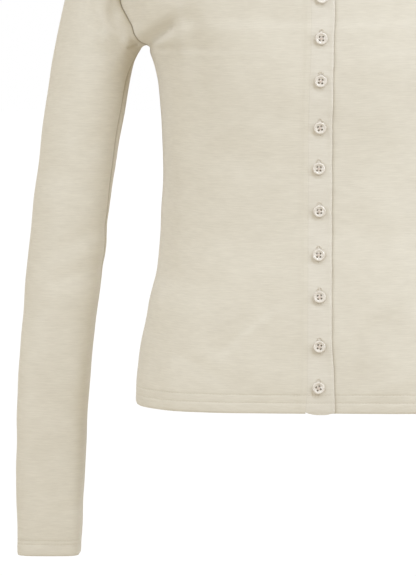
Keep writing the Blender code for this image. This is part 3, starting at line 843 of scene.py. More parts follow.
def jersey(name, dark, light):
    """Fine stone-coloured jersey, between a dark and a light yarn."""
    made, knit = new_material(name)
    cut = knit.node("ShaderNodeUVMap", {"uv_map": "cut"})
    across = knit.node("ShaderNodeSeparateXYZ", {}, {0: cut}, output=0)
    up = knit.node("ShaderNodeSeparateXYZ", {}, {0: cut}, output=1)
    streaks = 0.0
    for per_metre_across, per_metre_up, share in zip(*STREAKS.values()):
        where = knit.node("ShaderNodeCombineXYZ", {}, {
            0: across * per_metre_across, 1: up * per_metre_up})
        noise = knit.node("ShaderNodeTexNoise", {"noise_dimensions": "2D"},
                          {"Vector": where, "Scale": 1.0, "Detail": 1.0})
        streaks = (noise - 0.5) * share + streaks
    yarn = knit.mix(streaks + 0.5, (*dark, 1.0), (*light, 1.0))
    # Shade painted into the colour wherever the attribute says, at seams and edges.
    painted_shade = knit.node("ShaderNodeAttribute", {"attribute_name": "painted_shade"}, output="Fac")
    colour = knit.mix(painted_shade * PAINTED_SHADE_STRENGTH, yarn, PAINTED_SHADE_TINT)
    wales = (across * (2 * math.pi / (WALE * MM))).sine()
    courses = (up * (2 * math.pi / (COURSE * MM))).sine()
    height = wales * 0.5 + courses * 0.25 + streaks * 1.2
    bump = knit.node("ShaderNodeBump", {}, {"Height": height, "Strength": 0.3,
                                            "Distance": 0.00008})
    cloth = knit.node("ShaderNodeBsdfPrincipled", {}, {
        "Base Color": colour, "Normal": bump, "Roughness": 0.92,
        "Sheen Weight": 0.12, "Sheen Roughness": 0.5, "Specular IOR Level": 0.2})
    knit.node("ShaderNodeOutputMaterial", {}, {"Surface": cloth})
    return made


stone = jersey("stone jersey", (0.690, 0.640, 0.552), (0.765, 0.715, 0.624))
stone_band = jersey("pressed stone jersey", (0.702, 0.653, 0.574), (0.772, 0.725, 0.645))
print("jersey of", round(10 / WALE), "wales and", round(10 / COURSE), "courses to a centimetre")


# %% Thread and resin
def plain_finish(name, dark, light, grain, settings):
    """A finish whose colour clouds softly from dark to light."""
    made, paint = new_material(name)
    place = paint.node("ShaderNodeTexCoord", output="Object")
    cloud = paint.node("ShaderNodeTexNoise", {}, {"Vector": place, "Scale": grain, "Detail": 2.0})
    colour = paint.mix((cloud - 0.5) * 2.0 + 0.5, (*dark, 1.0), (*light, 1.0))
    bump = paint.node("ShaderNodeBump", {}, {"Height": cloud, "Strength": 0.1,
                                             "Distance": 0.00005})
    shader = paint.node("ShaderNodeBsdfPrincipled", {}, {
        "Base Color": colour, "Normal": bump, **settings})
    paint.node("ShaderNodeOutputMaterial", {}, {"Surface": shader})
    return made


thread = plain_finish("sewing thread", (0.60, 0.54, 0.45), (0.70, 0.64, 0.55), 900.0,
                      {"Roughness": 0.75})
button_thread = plain_finish("button thread", (0.68, 0.57, 0.50), (0.78, 0.68, 0.61), 900.0,
                             {"Roughness": 0.7})
resin = plain_finish("cream resin", (0.71, 0.65, 0.58), (0.81, 0.755, 0.69), 220.0,
                     {"Roughness": 0.28, "Coat Weight": 0.3, "Coat Roughness": 0.15})
# Painted shade: the holes' walls are painted near black-brown for the shade inside them; their
# dull roughness is the drilled resin's own.
hole_painted_shade = plain_finish("dull resin with painted shade in the holes", (0.11, 0.075, 0.04),
                          (0.17, 0.12, 0.07), 700.0, {"Roughness": 0.8})
print("materials", [finish.name for finish in bpy.data.materials])

# %% [markdown]
# ## The back and the fronts
#
# A front is one piece from the hem to the shoulder, sewn to the back at the side
# and the shoulder, to a sleeve round the armhole, and to its band at the centre.
# The right front's edge is pressed over its allowance, so it stands up level with
# the band. The left front goes in under the top band. The side seam shows as a
# faint line just inside the outline. Shade is painted into the seams, darkest
# where the side seam runs into the armhole, and a thin shadow is painted on the
# left front beside the top band's edge.

# %% Fronts
SEAM_GAP = 0.3
BAND_PROUD = 0.5
UNDER_BAND_INSET = -BAND_PROUD + BAND_CLOTH + SEAM_GAP
UNDER_BAND_SEAM = 9.0
LAP_FADES = (16.0, 75.0)
PRESSED_EDGE = (3.0, 8.0)     # where the pressed edge falls back to the front's level
# Painted shade in the side, armhole and top seams; the side and armhole seams get most of it in
# the pit of the arm.
PIT_OF_ARM = (-230.0, 9.0)    # the seams are darkest at this height, and this far from it
SIDE_SEAM_DARK = 0.25         # how dark a side or armhole seam is elsewhere
SIDE_SEAM_WIDTHS = (0.5, 1.6)     # and how wide it is there, and in the pit of the arm
TOP_SEAM_DARK = (0.7, 0.6)    # of each line: how dark, and how wide
# Painted shade along the right front's seam with its band, and a painted shadow on the left front
# beside the top band's edge.
BAND_SEAM_DARK = (0.08, 0.4)
BAND_SHADE = (0.15, 0.4)
BAND_SHADE_AT = 0.35          # how far from the top band's edge its shade lies
BAND_SEAM_DIP = (0.08, 0.35)


def lap_inset(across):
    """The left front dips under the band near the centre and comes back out."""
    return np.where(across > 0, UNDER_BAND_INSET * (1 - ease(across, *LAP_FADES)), 0.0)


def right_centre(height):
    """How far from the centre the right front ends, at its band's seam."""
    return -read(BAND, "seam", height)


def left_centre(height):
    """How far from the centre the left front ends, under the top band."""
    return UNDER_BAND_SEAM + 0 * height


def back_centre(height):
    """The back's two halves meet on the centre line."""
    return 0 * height


def armhole_and_side_painted_shade(distance, height):
    """How much shade is painted into the side and armhole seams, most in the pit of the arm."""
    near = bell(height - PIT_OF_ARM[0], PIT_OF_ARM[1])
    narrow, wide = SIDE_SEAM_WIDTHS
    dark = SIDE_SEAM_DARK + (1 - SIDE_SEAM_DARK) * near
    return line_of(distance, dark, narrow + (wide - narrow) * near)


def turned_up(height, edge, turn_up):
    """The thickness of the cloth, which is double in a turned-up hem."""
    return CLOTH * (1 + (height < edge + turn_up))


def panel_relief(below, above, beside, height):
    """How far in a panel dips along its hem and seams, and how much shade is painted into its
    seams.
    """
    inset = hem_dip(below, TWIN_ROWS) + seam_dip(above) + seam_dip(beside)
    return inset, np.maximum(armhole_and_side_painted_shade(beside, height), line_of(above, *TOP_SEAM_DARK))


def pressed_out(from_band):
    """How far out the right front's pressed edge stands at this distance from its band."""
    return BAND_PROUD * (1 - ease(from_band, *PRESSED_EDGE))


def add_front(node, side, centre_line):
    """A front, from the hem to the shoulder."""
    bearing, height = (refined(grid, left="centre", right="seam", top="seam")
                       for grid in half_panel(1, centre_line))
    bearing = side * bearing
    flat = form(bearing, height, 0.0)
    below, above, inward, outward = edge_distances(flat)
    inset, painted_shade = panel_relief(below, above, outward, height)
    inset = inset + lap_inset(flat[..., 0])
    if side < 0:
        inset = inset + line_of(inward, *BAND_SEAM_DIP) - pressed_out(inward)
        # painted shade along the seam with the band
        painted_shade = np.maximum(painted_shade, line_of(inward, *BAND_SEAM_DARK))
    else:
        # painted shadow: a thin dark line on the left front just beside the top band's edge
        off_band = flat[..., 0] - read(BAND, "edge", height) - BAND_SHADE_AT
        painted_shade = np.maximum(painted_shade, line_of(off_band, *BAND_SHADE))
    return add_cloth(node, stone, form(bearing, height, inset),
                     cut_place(bearing, height), turned_up(height, HEM_HEIGHT, HEM_TURN_UP),
                     painted_shade, flip=side < 0)


front_right = add_front("front_right", -1, right_centre)
front_left = add_front("front_left", 1, left_centre)

# %% Back
bearing, height = half_panel(-1, back_centre)
bearing = np.hstack([bearing[:, ::-1], 360 - bearing[:, 1:]])
height = np.hstack([height[:, ::-1], height[:, 1:]])
bearing, height = (refined(grid, left="seam", right="seam", top="seam")
                   for grid in (bearing, height))
below, above, left, right = edge_distances(form(bearing, height, 0.0))
inset, painted_shade = panel_relief(below, above, np.minimum(left, right), height)
back = add_cloth("back", stone, form(bearing, height, inset),
                 cut_place(bearing - 180, height),
                 turned_up(height, HEM_HEIGHT, HEM_TURN_UP), painted_shade)

# %% [markdown]
# ## The sleeves
#
# A set-in sleeve leaves the armhole square to the seam, runs over the shoulder
# and turns down into the arm. It is made of rings that all start at the underarm
# seam, so the grid closes there. The columns crowd near that seam, whose
# allowance is pressed to one side and stands up as a fine ridge. The cloth is
# fullest over the front of the armhole. A short crease crosses the underarm, and
# soft drags run from it up over the sleeve.

# %% Rings of a sleeve
CAP_PARTS = (0.0, 0.004, 0.009, 0.015, 0.022, 0.03, *np.linspace(0.04, 1, 64))
ARM_STEPS = 150
TURN_STEPS = 60
TURNS_NEAR_SEAM = 5
FINE_TURNS = 4
CUFF_LEVELS = (16.0, 15.5, 14.9, 14.3, 13.5, 12.5, 11.7, 11.1, 10.5, 9.5, 7.5, 5.0, 3.0,
               1.6, 0.8, 0.3, 0.0)
CUFF = SLEEVE["height"][-1]
# How the cap leaves the armhole and arrives in the arm, in mm for each unit of its way:
# at the underarm, and how much more at the shoulder tip.
CAP_LEAVES_OUT = (20, 65)
CAP_LEAVES_UP = (2, -42)
CAP_ARRIVES_DOWN = (34, 150)
FULLNESS = 9                  # how fast it leaves forward and back
FRONT_FULLNESS = (30, 0.6)    # how much faster in front, and over what angle
FRONT_FULLNESS_AT = 0.75      # the angle round the sleeve where that is most


def sleeve_turns():
    """How far round the sleeve its columns lie, from 0 at the underarm to 2 back at it."""
    near = np.arange(0, TURNS_NEAR_SEAM, 1 / FINE_TURNS) / TURN_STEPS
    far = np.arange(TURNS_NEAR_SEAM, TURN_STEPS + 1) / TURN_STEPS
    front = np.append(near, far)
    return np.append(front, 2 - front[-2::-1])


def sleeve_ring(height, side, angle):
    """A level ring of the sleeve; it starts at the underarm seam and goes by the front."""
    turned = np.degrees(angle) + read(SLEEVE, "seam_turn", height)
    forward, inward = rounded(turned, read(SLEEVE, "squareness", height))
    across = read(SLEEVE, "axis_out", height) - read(SLEEVE, "half_width", height) * inward
    ahead = read(SLEEVE, "axis_forward", height) + read(SLEEVE, "half_depth", height) * forward
    return np.stack([side * across, -ahead, height + 0 * angle], axis=-1)


def armhole_ring(side, turns):
    """The armhole seam, from the underarm over the front to the tip and down the back."""
    front, behind = (armhole(face, 1 - np.abs(1 - turns)) for face in (1, -1))
    bearing = np.where(turns <= 1, front[0], behind[0])
    height = np.where(turns <= 1, front[1], behind[1])
    return form(side * bearing, height, 0.0)


def sleeve_rings(side):
    """Rings of a sleeve's outer face, over the cap from the armhole and down to the cuff."""
    turns = sleeve_turns()
    angle = math.pi * turns
    top = (1 - np.cos(angle)) / 2
    arm_height = SLEEVE["height"][0]
    arm = sleeve_ring(arm_height, side, angle)

    def from_underarm(rate):
        """A rate at the underarm, and how much more at the tip, all the way round."""
        return rate[0] + rate[1] * top

    fullness = FULLNESS + line_of(angle - FRONT_FULLNESS_AT, *FRONT_FULLNESS)
    leaving = np.stack([side * from_underarm(CAP_LEAVES_OUT), -fullness * np.sin(angle),
                        from_underarm(CAP_LEAVES_UP)], axis=-1)
    down = sleeve_ring(arm_height - 1, side, angle) - arm
    arriving = down * from_underarm(CAP_ARRIVES_DOWN)[:, None]
    seam = armhole_ring(side, turns)
    rings = [cubic(t, seam, leaving, arm, arriving) for t in CAP_PARTS]
    arm_end = CUFF + CUFF_TURN_UP + 2.0
    heights = list(np.linspace(arm_height, arm_end, ARM_STEPS + 1)[1:])
    for level in heights + [CUFF + up for up in CUFF_LEVELS]:
        rings.append(sleeve_ring(level, side, angle))
    return np.array(rings)


def outward_of(rings, side):
    """Unit vectors square to the sleeve, pointing out."""
    open_rings = rings[:, :-1]
    around = np.roll(open_rings, -1, axis=1) - np.roll(open_rings, 1, axis=1)
    outward = side * np.cross(np.gradient(open_rings, axis=0), around)
    return unit(np.hstack([outward, outward[:, :1]]))


print("armhole", round(lengths(armhole_ring(1, sleeve_turns()))[-1]), "mm round")


# %% Creases of a sleeve
SLEEVE_CREASES = table("face out_from height_from out_to height_to ridge half_width", [
    (1, 171, -227, 178.5, -230.2, -1.8, 1.1),  # sharp, across the underarm
    (1, 176, -224, 197, -198, -1.3, 6),        # drags up over the cap
    (1, 205, -180, 201, -216, 5.0, 8),         # full beside the armhole
    (1, 186, -232, 203, -214, -0.9, 6),
    (1, 196, -300, 214, -322, -0.6, 9),
    (1, 205, -398, 236, -414, -1.0, 9),        # slack at the elbow
    (1, 214, -436, 244, -446, -0.8, 8),
    (1, 226, -660, 250, -668, -0.5, 7),
    (-1, 174, -224, 200, -196, -1.6, 6),
    (-1, 200, -392, 236, -402, -1.2, 9),
    (-1, 206, -424, 240, -440, -1.1, 8),
    (-1, 212, -452, 246, -474, -0.8, 9),
])
UNEVENNESS_SHIFT = 60         # so that the sleeve's waves don't line up with the body's
UNEVENNESS_FROM = (215, 260)  # how far down it sets in
FACE_BLEND = (-4.0, 8.0)      # a crease of one face fades out across the edge
UNDERARM_SHIFT = 1.5          # the pressed allowance lies a little behind the seam
UNDERARM_FADES = (-480.0, -400.0)
UNDERARM_FAINT = 0.2          # what is left of the seam where it has faded
UNDERARM_DIP = (0.6, 0.6)     # of each line: how strong, and how wide
UNDERARM_RIDGE = (1.2, 1.1)
UNDERARM_RIDGE_BEHIND = 2.3
# Painted shade along the underarm seam: how dark, and how wide.
UNDERARM_DARK = (0.9, 0.8)


def sleeve_relief(rings, side):
    """How far the folds of a sleeve lift its cloth."""
    out, ahead, height = side * rings[..., 0], -rings[..., 1], rings[..., 2]
    relief = unevenness(rings[..., 0], height + UNEVENNESS_SHIFT)
    relief *= ease(-height, *UNEVENNESS_FROM)
    for face, *line, ridge, half_width in zip(*SLEEVE_CREASES.values()):
        shown = ease(face * ahead, *FACE_BLEND)
        relief += ridge * shown * along_fold(out, height, *line, half_width)
    return relief


print(len(SLEEVE_CREASES["face"]), "creases of a sleeve")


# %% Sleeves
SEAM_SETS_IN = (2.0, 9.0)     # how far from the armhole the underarm seam sets in
RELIEF_SETS_IN = (0.5, 4.0)   # and the folds


def add_sleeve(node, side):
    """A sleeve, from the armhole to the cuff."""
    rings = sleeve_rings(side)
    height = rings[..., 2]
    down, up, along, back_along = edge_distances(rings)
    behind = np.where(along < back_along, -along, back_along) - UNDERARM_SHIFT
    fade = UNDERARM_FAINT + (1 - UNDERARM_FAINT) * ease(height, *UNDERARM_FADES)
    strong = ease(down, *SEAM_SETS_IN) * fade
    dip = seam_dip(down) + hem_dip(up, CUFF_ROWS)
    dip = dip + strong * (line_of(behind, *UNDERARM_DIP)
                          - line_of(behind - UNDERARM_RIDGE_BEHIND, *UNDERARM_RIDGE))
    dip = dip - sleeve_relief(rings, side) * ease(down, *RELIEF_SETS_IN)
    # Painted shade: the armhole seam, most in the pit of the arm, and the underarm seam are
    # darkened.
    painted_shade = np.maximum(armhole_and_side_painted_shade(down, height), strong * line_of(behind, *UNDERARM_DARK))
    points = rings - dip[..., None] * outward_of(rings, side)
    points[:, -1] = points[:, 0]
    cut = np.stack([along - along[:, -1:] / 2, up], axis=-1)
    return add_cloth(node, stone, points, cut, turned_up(height, CUFF, CUFF_TURN_UP),
                     painted_shade, flip=side > 0)


sleeve_right = add_sleeve("sleeve_right", -1)
sleeve_left = add_sleeve("sleeve_left", 1)

# %% [markdown]
# ## The button bands and the neckband
#
# Each band is a strip of jersey, folded double and pressed. The wearer's right
# band carries the buttonholes and lies on top. Its free edge is a round fold,
# which the buttons hold down and which lifts a little between them. Round each
# button the band is pressed in. Its lower corners are eased round at the hem.

# %% Places of the buttons
BUTTONS = table("height across turn", [
    (-103.0, 0.4, 10),
    (-143.0, 0.4, -6),
    (-182.6, 0.4, 4),
    (-219.7, -0.1, 0),
    (-258.4, -0.6, -8),
    (-301.0, -1.1, 12),
    (-338.1, -2.0, -3),
    (-377.1, -1.4, 5),
    (-417.1, -1.9, 0),
    (-455.3, -1.0, 8),
    (-500.7, -1.0, -10),
    (-538.6, -1.7, 22),
])
BUTTON_DENT = (0.25, 6.5)     # how deep and how wide a button presses in the band
HELD_DOWN = 13.0              # how far along the edge a button holds it down


def dent(across, height):
    """How far the buttons press in the band."""
    places = zip(BUTTONS["across"], BUTTONS["height"])
    return sum(line_of(np.hypot(across - x, height - z), *BUTTON_DENT) for x, z in places)


def between_buttons(height):
    """0 beside a button, 1 midway between two."""
    return 1 - np.minimum(1, sum(bell(height - z, HELD_DOWN) for z in BUTTONS["height"]))


print(len(BUTTONS["height"]), "buttons,", round(-np.diff(BUTTONS["height"]).mean(), 1), "mm apart")


# %% Bands
def band_rows(centre_line):
    """Heights of a band's rows, from the hem to the top of the neckband."""
    centre = refined(half_panel(1, centre_line)[1][:, :2], top="seam")[:, :1]
    top = centre[-1:] + NECKBAND_WIDTH * np.linspace(0.1, 1, 10)[:, None]
    return np.vstack([centre, top])


def add_band(node, across, height, inset, painted_shade=0.0, flip=False):
    """A band, whose cut lies as it hangs."""
    across, height = np.broadcast_arrays(across, height)
    points = form(bearing_of(across, height), height, inset)
    return add_cloth(node, stone_band, points, np.stack([across, height], axis=-1),
                     BAND_CLOTH, painted_shade, flip)


BAND_ACROSS = np.array([0, 0.2, 0.4, 0.7, 1.0, 1.3, 1.7, 2.3, 3.0, 4.2, 6, 8, 10, 12, 14,
                        16, 18, 19.5, 20.6, 21.6, 22.4, 23.0, 23.4, 23.65, 23.8])
BAND_CORNERS = (0.6, 2.0, 4.0)    # the drop between them, their rounding, and its height
BAND_SEAM_SHADE = (0.12, 0.4)     # of each line: how strong, and how wide
EDGE_SWAY = 0.3                   # how far the edge goes out and in between buttons
EDGE_LIFT = (0.3, 3.0)
EDGE_LIFT_AT = 1.0                # how far in from the edge
EDGE_ROLL = (0.22, 1.2)
EDGE_ROLL_AT = 1.9
BAND_HEM_DEPTH = 0.12

s = BAND_ACROSS / BAND_ACROSS[-1]
height = band_rows(right_centre)
lift = between_buttons(height)
seam = read(BAND, "seam", height)
edge = read(BAND, "edge", height) + EDGE_SWAY * (lift - 0.5)
across = seam + (edge - seam) * s
corner_drop, corner_rounding, corner_height = BAND_CORNERS
hang = height + bell(height - HEM_HEIGHT, corner_height) * (
    corner_rounding * np.abs(2 * s - 1) ** 4 - corner_drop)
from_seam, from_edge = across - seam, edge - across
inset = (dent(across, hang) + line_of(from_seam, *BAND_SEAM_DIP) + fold_round(from_edge)
         - lift * line_of(from_edge - EDGE_LIFT_AT, *EDGE_LIFT)
         - line_of(from_edge - EDGE_ROLL_AT, *EDGE_ROLL)
         + hem_dip(hang - HEM_HEIGHT, TWIN_ROWS, depth=BAND_HEM_DEPTH))
# The band's seam gets painted shade.
band_right = add_band("band_right", across, hang, inset - BAND_PROUD,
                      line_of(from_seam, *BAND_SEAM_SHADE))

across = UNDER_BAND_SEAM * (1 - 2 * s)
band_left = add_band("band_left", across, band_rows(left_centre),
                     UNDER_BAND_INSET + fold_round(UNDER_BAND_SEAM + across), flip=True)

# %% [markdown]
# The neckband is sewn on all round the neck and leans in over it, more at the
# sides and behind than in front. Its top edge is a fold, like the band's.


# %% Neckband
def neck_seam():
    """The neck seam from the right band round the back to the left one."""
    halves = []
    for face, side, centre_line in ((1, -1, right_centre), (-1, -1, back_centre),
                                    (-1, 1, back_centre), (1, 1, left_centre)):
        bearing, height = (grid[-1, :NECK_COLUMNS + 1] for grid in half_panel(face, centre_line))
        bearing = side * bearing
        lap = lap_inset(form(bearing, height, 0.0)[..., 0]) if face > 0 else 0.0
        halves.append(form(bearing, height, lap))
    right, back_right, back_left, left = halves
    return np.vstack([right, back_right[-2::-1], back_left[1:-1], left[::-1]])


NECK_ROWS = np.array([0.15, 0.5, 1.0, 1.8, 3.2, 5.5, 8.0, 9.6, 10.3, 10.7, 10.9, 11.0])
LEAN = (0.34, 0.20, 0.10)     # in front, and how much more at the sides and behind
BEHIND = (-60.0, 40.0)
BEYOND_BAND = (12.0, 50.0)    # it leans straight back over the band, and inwards beyond
NECK_SEAM_DARK = (0.6, 0.6)

lower = neck_seam()
off_centre = np.abs(lower[:, 0])
lean = LEAN[0] + LEAN[1] * off_centre / NECK_HALF_WIDTH + LEAN[2] * ease(lower[:, 1], *BEHIND)
beyond_band = ease(off_centre, *BEYOND_BAND)
inward = unit(-lower * np.stack([beyond_band, beyond_band ** 0, 0 * beyond_band], axis=1))
stand = unit(inward * lean[:, None] + (0, 0, 1))
out_of_neck = unit(np.cross(np.gradient(lower, axis=0), stand))
dip = seam_dip(NECK_ROWS, drop=0.4, ridge_at=3.0) + fold_round(NECK_ROWS[-1] - NECK_ROWS)
points = lower + NECK_ROWS[:, None, None] * stand - dip[:, None, None] * out_of_neck
cut = np.stack(np.broadcast_arrays(lengths(lower), NECK_ROWS[:, None]), axis=-1)
# The neck seam gets painted shade at its bottom.
neckband = add_cloth("neckband", stone_band, points, cut, BAND_CLOTH,
                     line_of(NECK_ROWS, *NECK_SEAM_DARK)[:, None])

# %% [markdown]
# ## Stitches
#
# Every stitch is a small spindle of thread, a sphere with six sides and four
# rings, stretched along its seam and half sunk in the cloth. The hem and cuffs
# have two rows each, and one row holds the top band to the front. All the
# stitches of a kind are one mesh.


# %% A row of stitches
ROW_END = 0.7                 # from a row's ends to its first and last stitch, in pitches
RUN_STEP = 0.4                # the step along a line that gives its direction

bm = bmesh.new()
bmesh.ops.create_uvsphere(bm, u_segments=6, v_segments=4, radius=0.5)
bm.verts.ensure_lookup_table()
SPINDLE_POINTS = np.array([vertex.co[:] for vertex in bm.verts])
SPINDLE_FACES = [[vertex.index for vertex in face.verts] for face in bm.faces]
bm.free()


def stitches(places, along, out, size):
    """Points of many stitches, each a spindle of this length, width and height."""
    along, out = unit(along), unit(out)
    length, width, height = size
    axes = np.stack([np.cross(out, along) * width, out * height, along * length], axis=1)
    return places[:, None] + SPINDLE_POINTS @ axes


def at_steps(steps, at, values):
    """Points or vectors at these distances along a line, from those that are known."""
    return np.stack([np.interp(steps, at, column) for column in values.T], axis=1)


def stitch_row(line, out, size, pitch):
    """Stitches along a line of points on the cloth."""
    at = lengths(line)
    end = ROW_END * pitch
    middle = np.arange(end, at[-1] - end, pitch)
    run = at_steps(middle + RUN_STEP, at, line) - at_steps(middle - RUN_STEP, at, line)
    return stitches(at_steps(middle, at, line), run, at_steps(middle, at, out), size)


def sewn(name, rows, finish=None):
    """One joined mesh of many stitches."""
    points = np.vstack(rows)
    count = len(SPINDLE_POINTS)
    faces = [[corner + count * k for corner in face]
             for k in range(len(points)) for face in SPINDLE_FACES]
    mesh = bpy.data.meshes.new(name)
    mesh.from_pydata((points * MM).reshape(-1, 3), [], faces)
    bm = bmesh.new()
    bm.from_mesh(mesh)
    bpy.data.meshes.remove(mesh)
    return add_piece(name, bm, finish or thread, None)


def on_form(bearing, height, inset):
    """Points of the form, and unit vectors that point out of it there."""
    line = form(bearing, height, inset)
    return line, unit(form(bearing, height, inset - 1.0) - line)


# %% Hem, cuff and band stitches
HEM_STITCH = (2.3, 0.42, 0.34)
HEM_PITCH = 3.1
TACK_STITCH = (1.9, 0.5, 0.4)
BAND_STITCH = (2.1, 0.38, 0.30)
BAND_PITCH = 2.9
STITCH_DEPTH = 0.17           # how far below the cloth's face its middle lies
BAND_STITCH_DEPTH = 0.12
BAND_STITCH_IN = 0.8          # how far in from the band's seam its stitches run
BAND_HEM_STITCH_DEPTH = 0.1
TACK_DEPTH = 0.08
TACKS = np.array([-24.0, -21.4, -18.8, -7.2, -4.6, -2.0])   # upright, by the band's seam
TACK_STEPS = (-0.9, 0.9)      # each is two stitches, this far from the hem's upper row

rows = []
for level in HEM_HEIGHT + np.array(TWIN_ROWS):
    lines = []
    for side, centre_line in ((-1, right_centre), (1, left_centre)):
        start = bearing_of(centre_line(np.array([level])), level)[0]
        bearing = side * np.linspace(start, SIDE_SEAM_BEARING, 400)
        on_cloth = form(bearing, level, 0.0)
        depth = lap_inset(on_cloth[:, 0]) + STITCH_DEPTH
        if side < 0:
            depth = depth - pressed_out(lengths(on_cloth))
        lines.append(on_form(bearing, level, depth))
    bearing = np.linspace(SIDE_SEAM_BEARING, 360 - SIDE_SEAM_BEARING, 800)
    lines.append(on_form(bearing, level, STITCH_DEPTH))
    across = np.linspace(read(BAND, "seam", level), read(BAND, "edge", level), 60)
    depth = BAND_HEM_STITCH_DEPTH - BAND_PROUD + dent(across, level)
    lines.append(on_form(bearing_of(across, level), level, depth))
    rows += [stitch_row(*line, HEM_STITCH, HEM_PITCH) for line in lines]
for step in TACK_STEPS:
    level = HEM_HEIGHT + TWIN_ROWS[1] + step
    depth = TACK_DEPTH - BAND_PROUD * (TACKS > read(BAND, "seam", level))
    line, out = on_form(bearing_of(TACKS, level), level, depth)
    rows.append(stitches(line, (0, 0, 1) + 0 * line, out, TACK_STITCH))
sewn("hem_stitches", rows)

rows = []
for side in (-1, 1):
    for row in CUFF_ROWS:
        ring = sleeve_ring(CUFF + row, side, np.linspace(0, 2 * math.pi, 300))
        out = unit(side * np.cross((0, 0, -1), np.gradient(ring, axis=0)))
        rows.append(stitch_row(ring - STITCH_DEPTH * out, out, HEM_STITCH, HEM_PITCH))
sewn("cuff_stitches", rows)

height = np.linspace(HEM_HEIGHT + 2, -FRONT_NECK_DROP - 2, 900)
across = read(BAND, "seam", height) + BAND_STITCH_IN
line = on_form(bearing_of(across, height), height, BAND_STITCH_DEPTH - BAND_PROUD)
sewn("band_stitches", [stitch_row(*line, BAND_STITCH, BAND_PITCH)])

# %% [markdown]
# ## Buttonholes
#
# A buttonhole stands upright under each button, a long oval of close satin
# stitches that cross its edge. Most of it lies hidden, and its ends show above
# and below the button.

# %% Buttonholes
HOLE_HALF_LENGTH = 6.9
HOLE_HALF_WIDTH = 2.2
HOLE_ABOVE_BUTTON = 1.1
HOLE_SQUARENESS = 3.0
SATIN_STITCH = (1.7, 0.42, 0.55)
SATIN_PITCH = 0.46
SATIN_STEP = 0.5              # the step outwards that gives a stitch its direction


def on_top_band(across, height, lift=0.0):
    """Points on the face of the top band."""
    inset = dent(across, height) - BAND_PROUD - lift
    return form(bearing_of(across, height), height, inset)


def satin_oval():
    """Places and outward directions, evenly round an upright oval."""
    side, up = rounded(np.linspace(0, 360, 400), HOLE_SQUARENESS)
    oval = np.stack([HOLE_HALF_WIDTH * side, HOLE_HALF_LENGTH * up], axis=1)
    at = lengths(oval)
    oval = at_steps(np.arange(0, at[-1], SATIN_PITCH), at, oval)
    run = np.roll(oval, -1, axis=0) - np.roll(oval, 1, axis=0)
    out = np.stack([-run[:, 1], run[:, 0]], axis=1)
    return oval, unit(out * np.sign((out * oval).sum(1, keepdims=True)))


oval, oval_out = satin_oval()
rows = []
for button_height, button_across in zip(BUTTONS["height"], BUTTONS["across"]):
    across = button_across + oval[:, 0]
    height = button_height + HOLE_ABOVE_BUTTON + oval[:, 1]
    places = on_top_band(across, height)
    step_across, step_up = SATIN_STEP * oval_out.T
    outer = on_top_band(across + step_across, height + step_up)
    facing = on_top_band(across, height, 1.0) - places
    rows.append(stitches(places, outer - places, facing, SATIN_STITCH))
sewn("buttonholes", rows)

# %% [markdown]
# ## Buttons
#
# A button is turned on a lathe, so its profile is spun round: a flat back, a
# round rim and a dished middle. Four holes are drilled through with a Boolean.
# Their walls are dull, and painted near black-brown as shade inside the holes.
# Doubled thread crosses from hole to hole. Each button stands for the frame's own
# node of the same number.

# %% Turned button
RADIUS = 5.65
BUTTON_STEPS = 40
DRILL = 0.9
DRILL_AWAY = 2.05             # from the button's centre to each hole's
DISH_FLOOR = 1.55
BUTTON_PROFILE = [
    (0.0, 0.0), (RADIUS - 1.6, 0.0), (RADIUS - 0.6, 0.25), (RADIUS - 0.12, 0.8),
    (RADIUS, 1.3), (RADIUS - 0.12, 1.8), (RADIUS - 0.45, 2.25), (RADIUS - 0.9, 2.45),
    (RADIUS - 1.4, 2.4), (RADIUS - 1.85, 2.05), (RADIUS - 2.3, 1.7), (0.0, DISH_FLOOR),
]


def scratch_object(name, bm):
    """An object for the Boolean alone, with the finish of a face and the painted shade of a hole.
    """
    made = add_object(name, mesh_of(name, bm))
    for finish in (resin, hole_painted_shade):
        made.data.materials.append(finish)
    return made


bm = bmesh.new()
corners = [bm.verts.new((out * MM, 0.0, up * MM)) for out, up in BUTTON_PROFILE]
outline = [bm.edges.new(pair) for pair in zip(corners, corners[1:])]
bmesh.ops.spin(bm, geom=corners + outline, axis=(0, 0, 1), cent=(0, 0, 0), steps=BUTTON_STEPS,
               angle=2 * math.pi, use_merge=True)
bmesh.ops.remove_doubles(bm, verts=bm.verts[:], dist=1e-6)
bmesh.ops.recalc_face_normals(bm, faces=bm.faces[:])
blank = scratch_object("button_blank", bm)

bm = bmesh.new()
for k in range(4):
    turn = math.radians(45 + 90 * k)
    away = DRILL_AWAY * MM
    place = Matrix.Translation((away * math.cos(turn), away * math.sin(turn), 0))
    bmesh.ops.create_cone(bm, cap_ends=True, segments=14, radius1=DRILL * MM, radius2=DRILL * MM,
                          depth=10 * MM, matrix=place)
# the drilled walls get the painted shade of the holes
for face in bm.faces:
    face.material_index = 1
drill = scratch_object("button_drill", bm)

holes = blank.modifiers.new("four holes", "BOOLEAN")
holes.operation = "DIFFERENCE"
holes.object = drill
turned = bpy.data.meshes.new_from_object(
    blank.evaluated_get(bpy.context.evaluated_depsgraph_get()))
for scratch in (blank, drill):
    bpy.data.objects.remove(scratch)
print("button", len(turned.polygons), "faces")

# %% Buttons on the band
THREAD_SIZE = (4.7, 0.46, 0.6)
THREADS_APART = 0.24
THREAD_UP = 0.12              # above the floor of the dish
SEAT_STEP = 5.0               # the step up the band that gives a button its lean


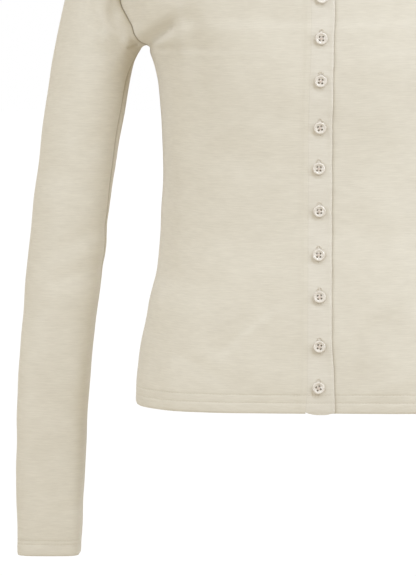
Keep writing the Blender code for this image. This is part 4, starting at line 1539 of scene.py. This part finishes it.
def cross_threads():
    """Two strands each way from hole to hole, in the button's own place."""
    way = np.radians([45, 45, 135, 135])
    apart = THREADS_APART * np.array([-1, 1, -1, 1])
    along = np.stack([np.cos(way), np.sin(way), 0 * way], axis=1)
    places = np.stack([-apart * np.sin(way), apart * np.cos(way),
                       0 * way + DISH_FLOOR + THREAD_UP], axis=1)
    return stitches(places, along, np.array([[0.0, 0.0, 1.0]] * 4), THREAD_SIZE)


def seated(height, across, turn):
    """Where a button sits: on the band, leaning back with it, and turned a little."""
    bearing = bearing_of(across, height)
    seat, above = form(bearing, np.array([height, height + SEAT_STEP]), -(BAND_PROUD + SEAM_GAP))
    lean = math.atan2(above[1] - seat[1], above[2] - seat[2])
    pose = Euler((math.pi / 2 - lean, 0, math.radians(turn)), "ZYX").to_matrix().to_4x4()
    return Matrix.Translation(Vector(seat) * MM) @ pose


for k, place in enumerate(zip(*BUTTONS.values()), 1):
    where = seated(*place)
    bm = bmesh.new()
    bm.from_mesh(turned)
    bmesh.ops.transform(bm, matrix=where, verts=bm.verts[:])
    button = add_piece(f"button_{k:02d}_turned", bm, resin, f"button_{k:02d}")
    button.data.materials.append(hole_painted_shade)
    crossing = sewn(f"button_{k:02d}_thread", [cross_threads()], button_thread)
    crossing.data.transform(where)

# %% [markdown]
# ## The flat size of the sheets
#
# The flat width and length of each cut piece are worked out from its cut map:
# those of the flat cloth that shows, with the hem's or cuff's turn-up added. They
# are not kept or declared.


def declare(piece, turn_up=0.0):
    """Work out the flat size of a piece from its cut map, with its turn-up; it is not kept."""
    mesh = piece.data
    flat = np.empty(len(mesh.loops) * 2)
    mesh.uv_layers["cut"].data.foreach_get("uv", flat)
    width, length = np.ptp(flat.reshape(-1, 2), axis=0)
    length += turn_up * MM


declare(back, HEM_TURN_UP)
declare(front_right, HEM_TURN_UP)
declare(front_left, HEM_TURN_UP)
declare(sleeve_right, CUFF_TURN_UP)
declare(sleeve_left, CUFF_TURN_UP)
declare(band_right, 0.0)
declare(band_left, 0.0)
declare(neckband, 0.0)
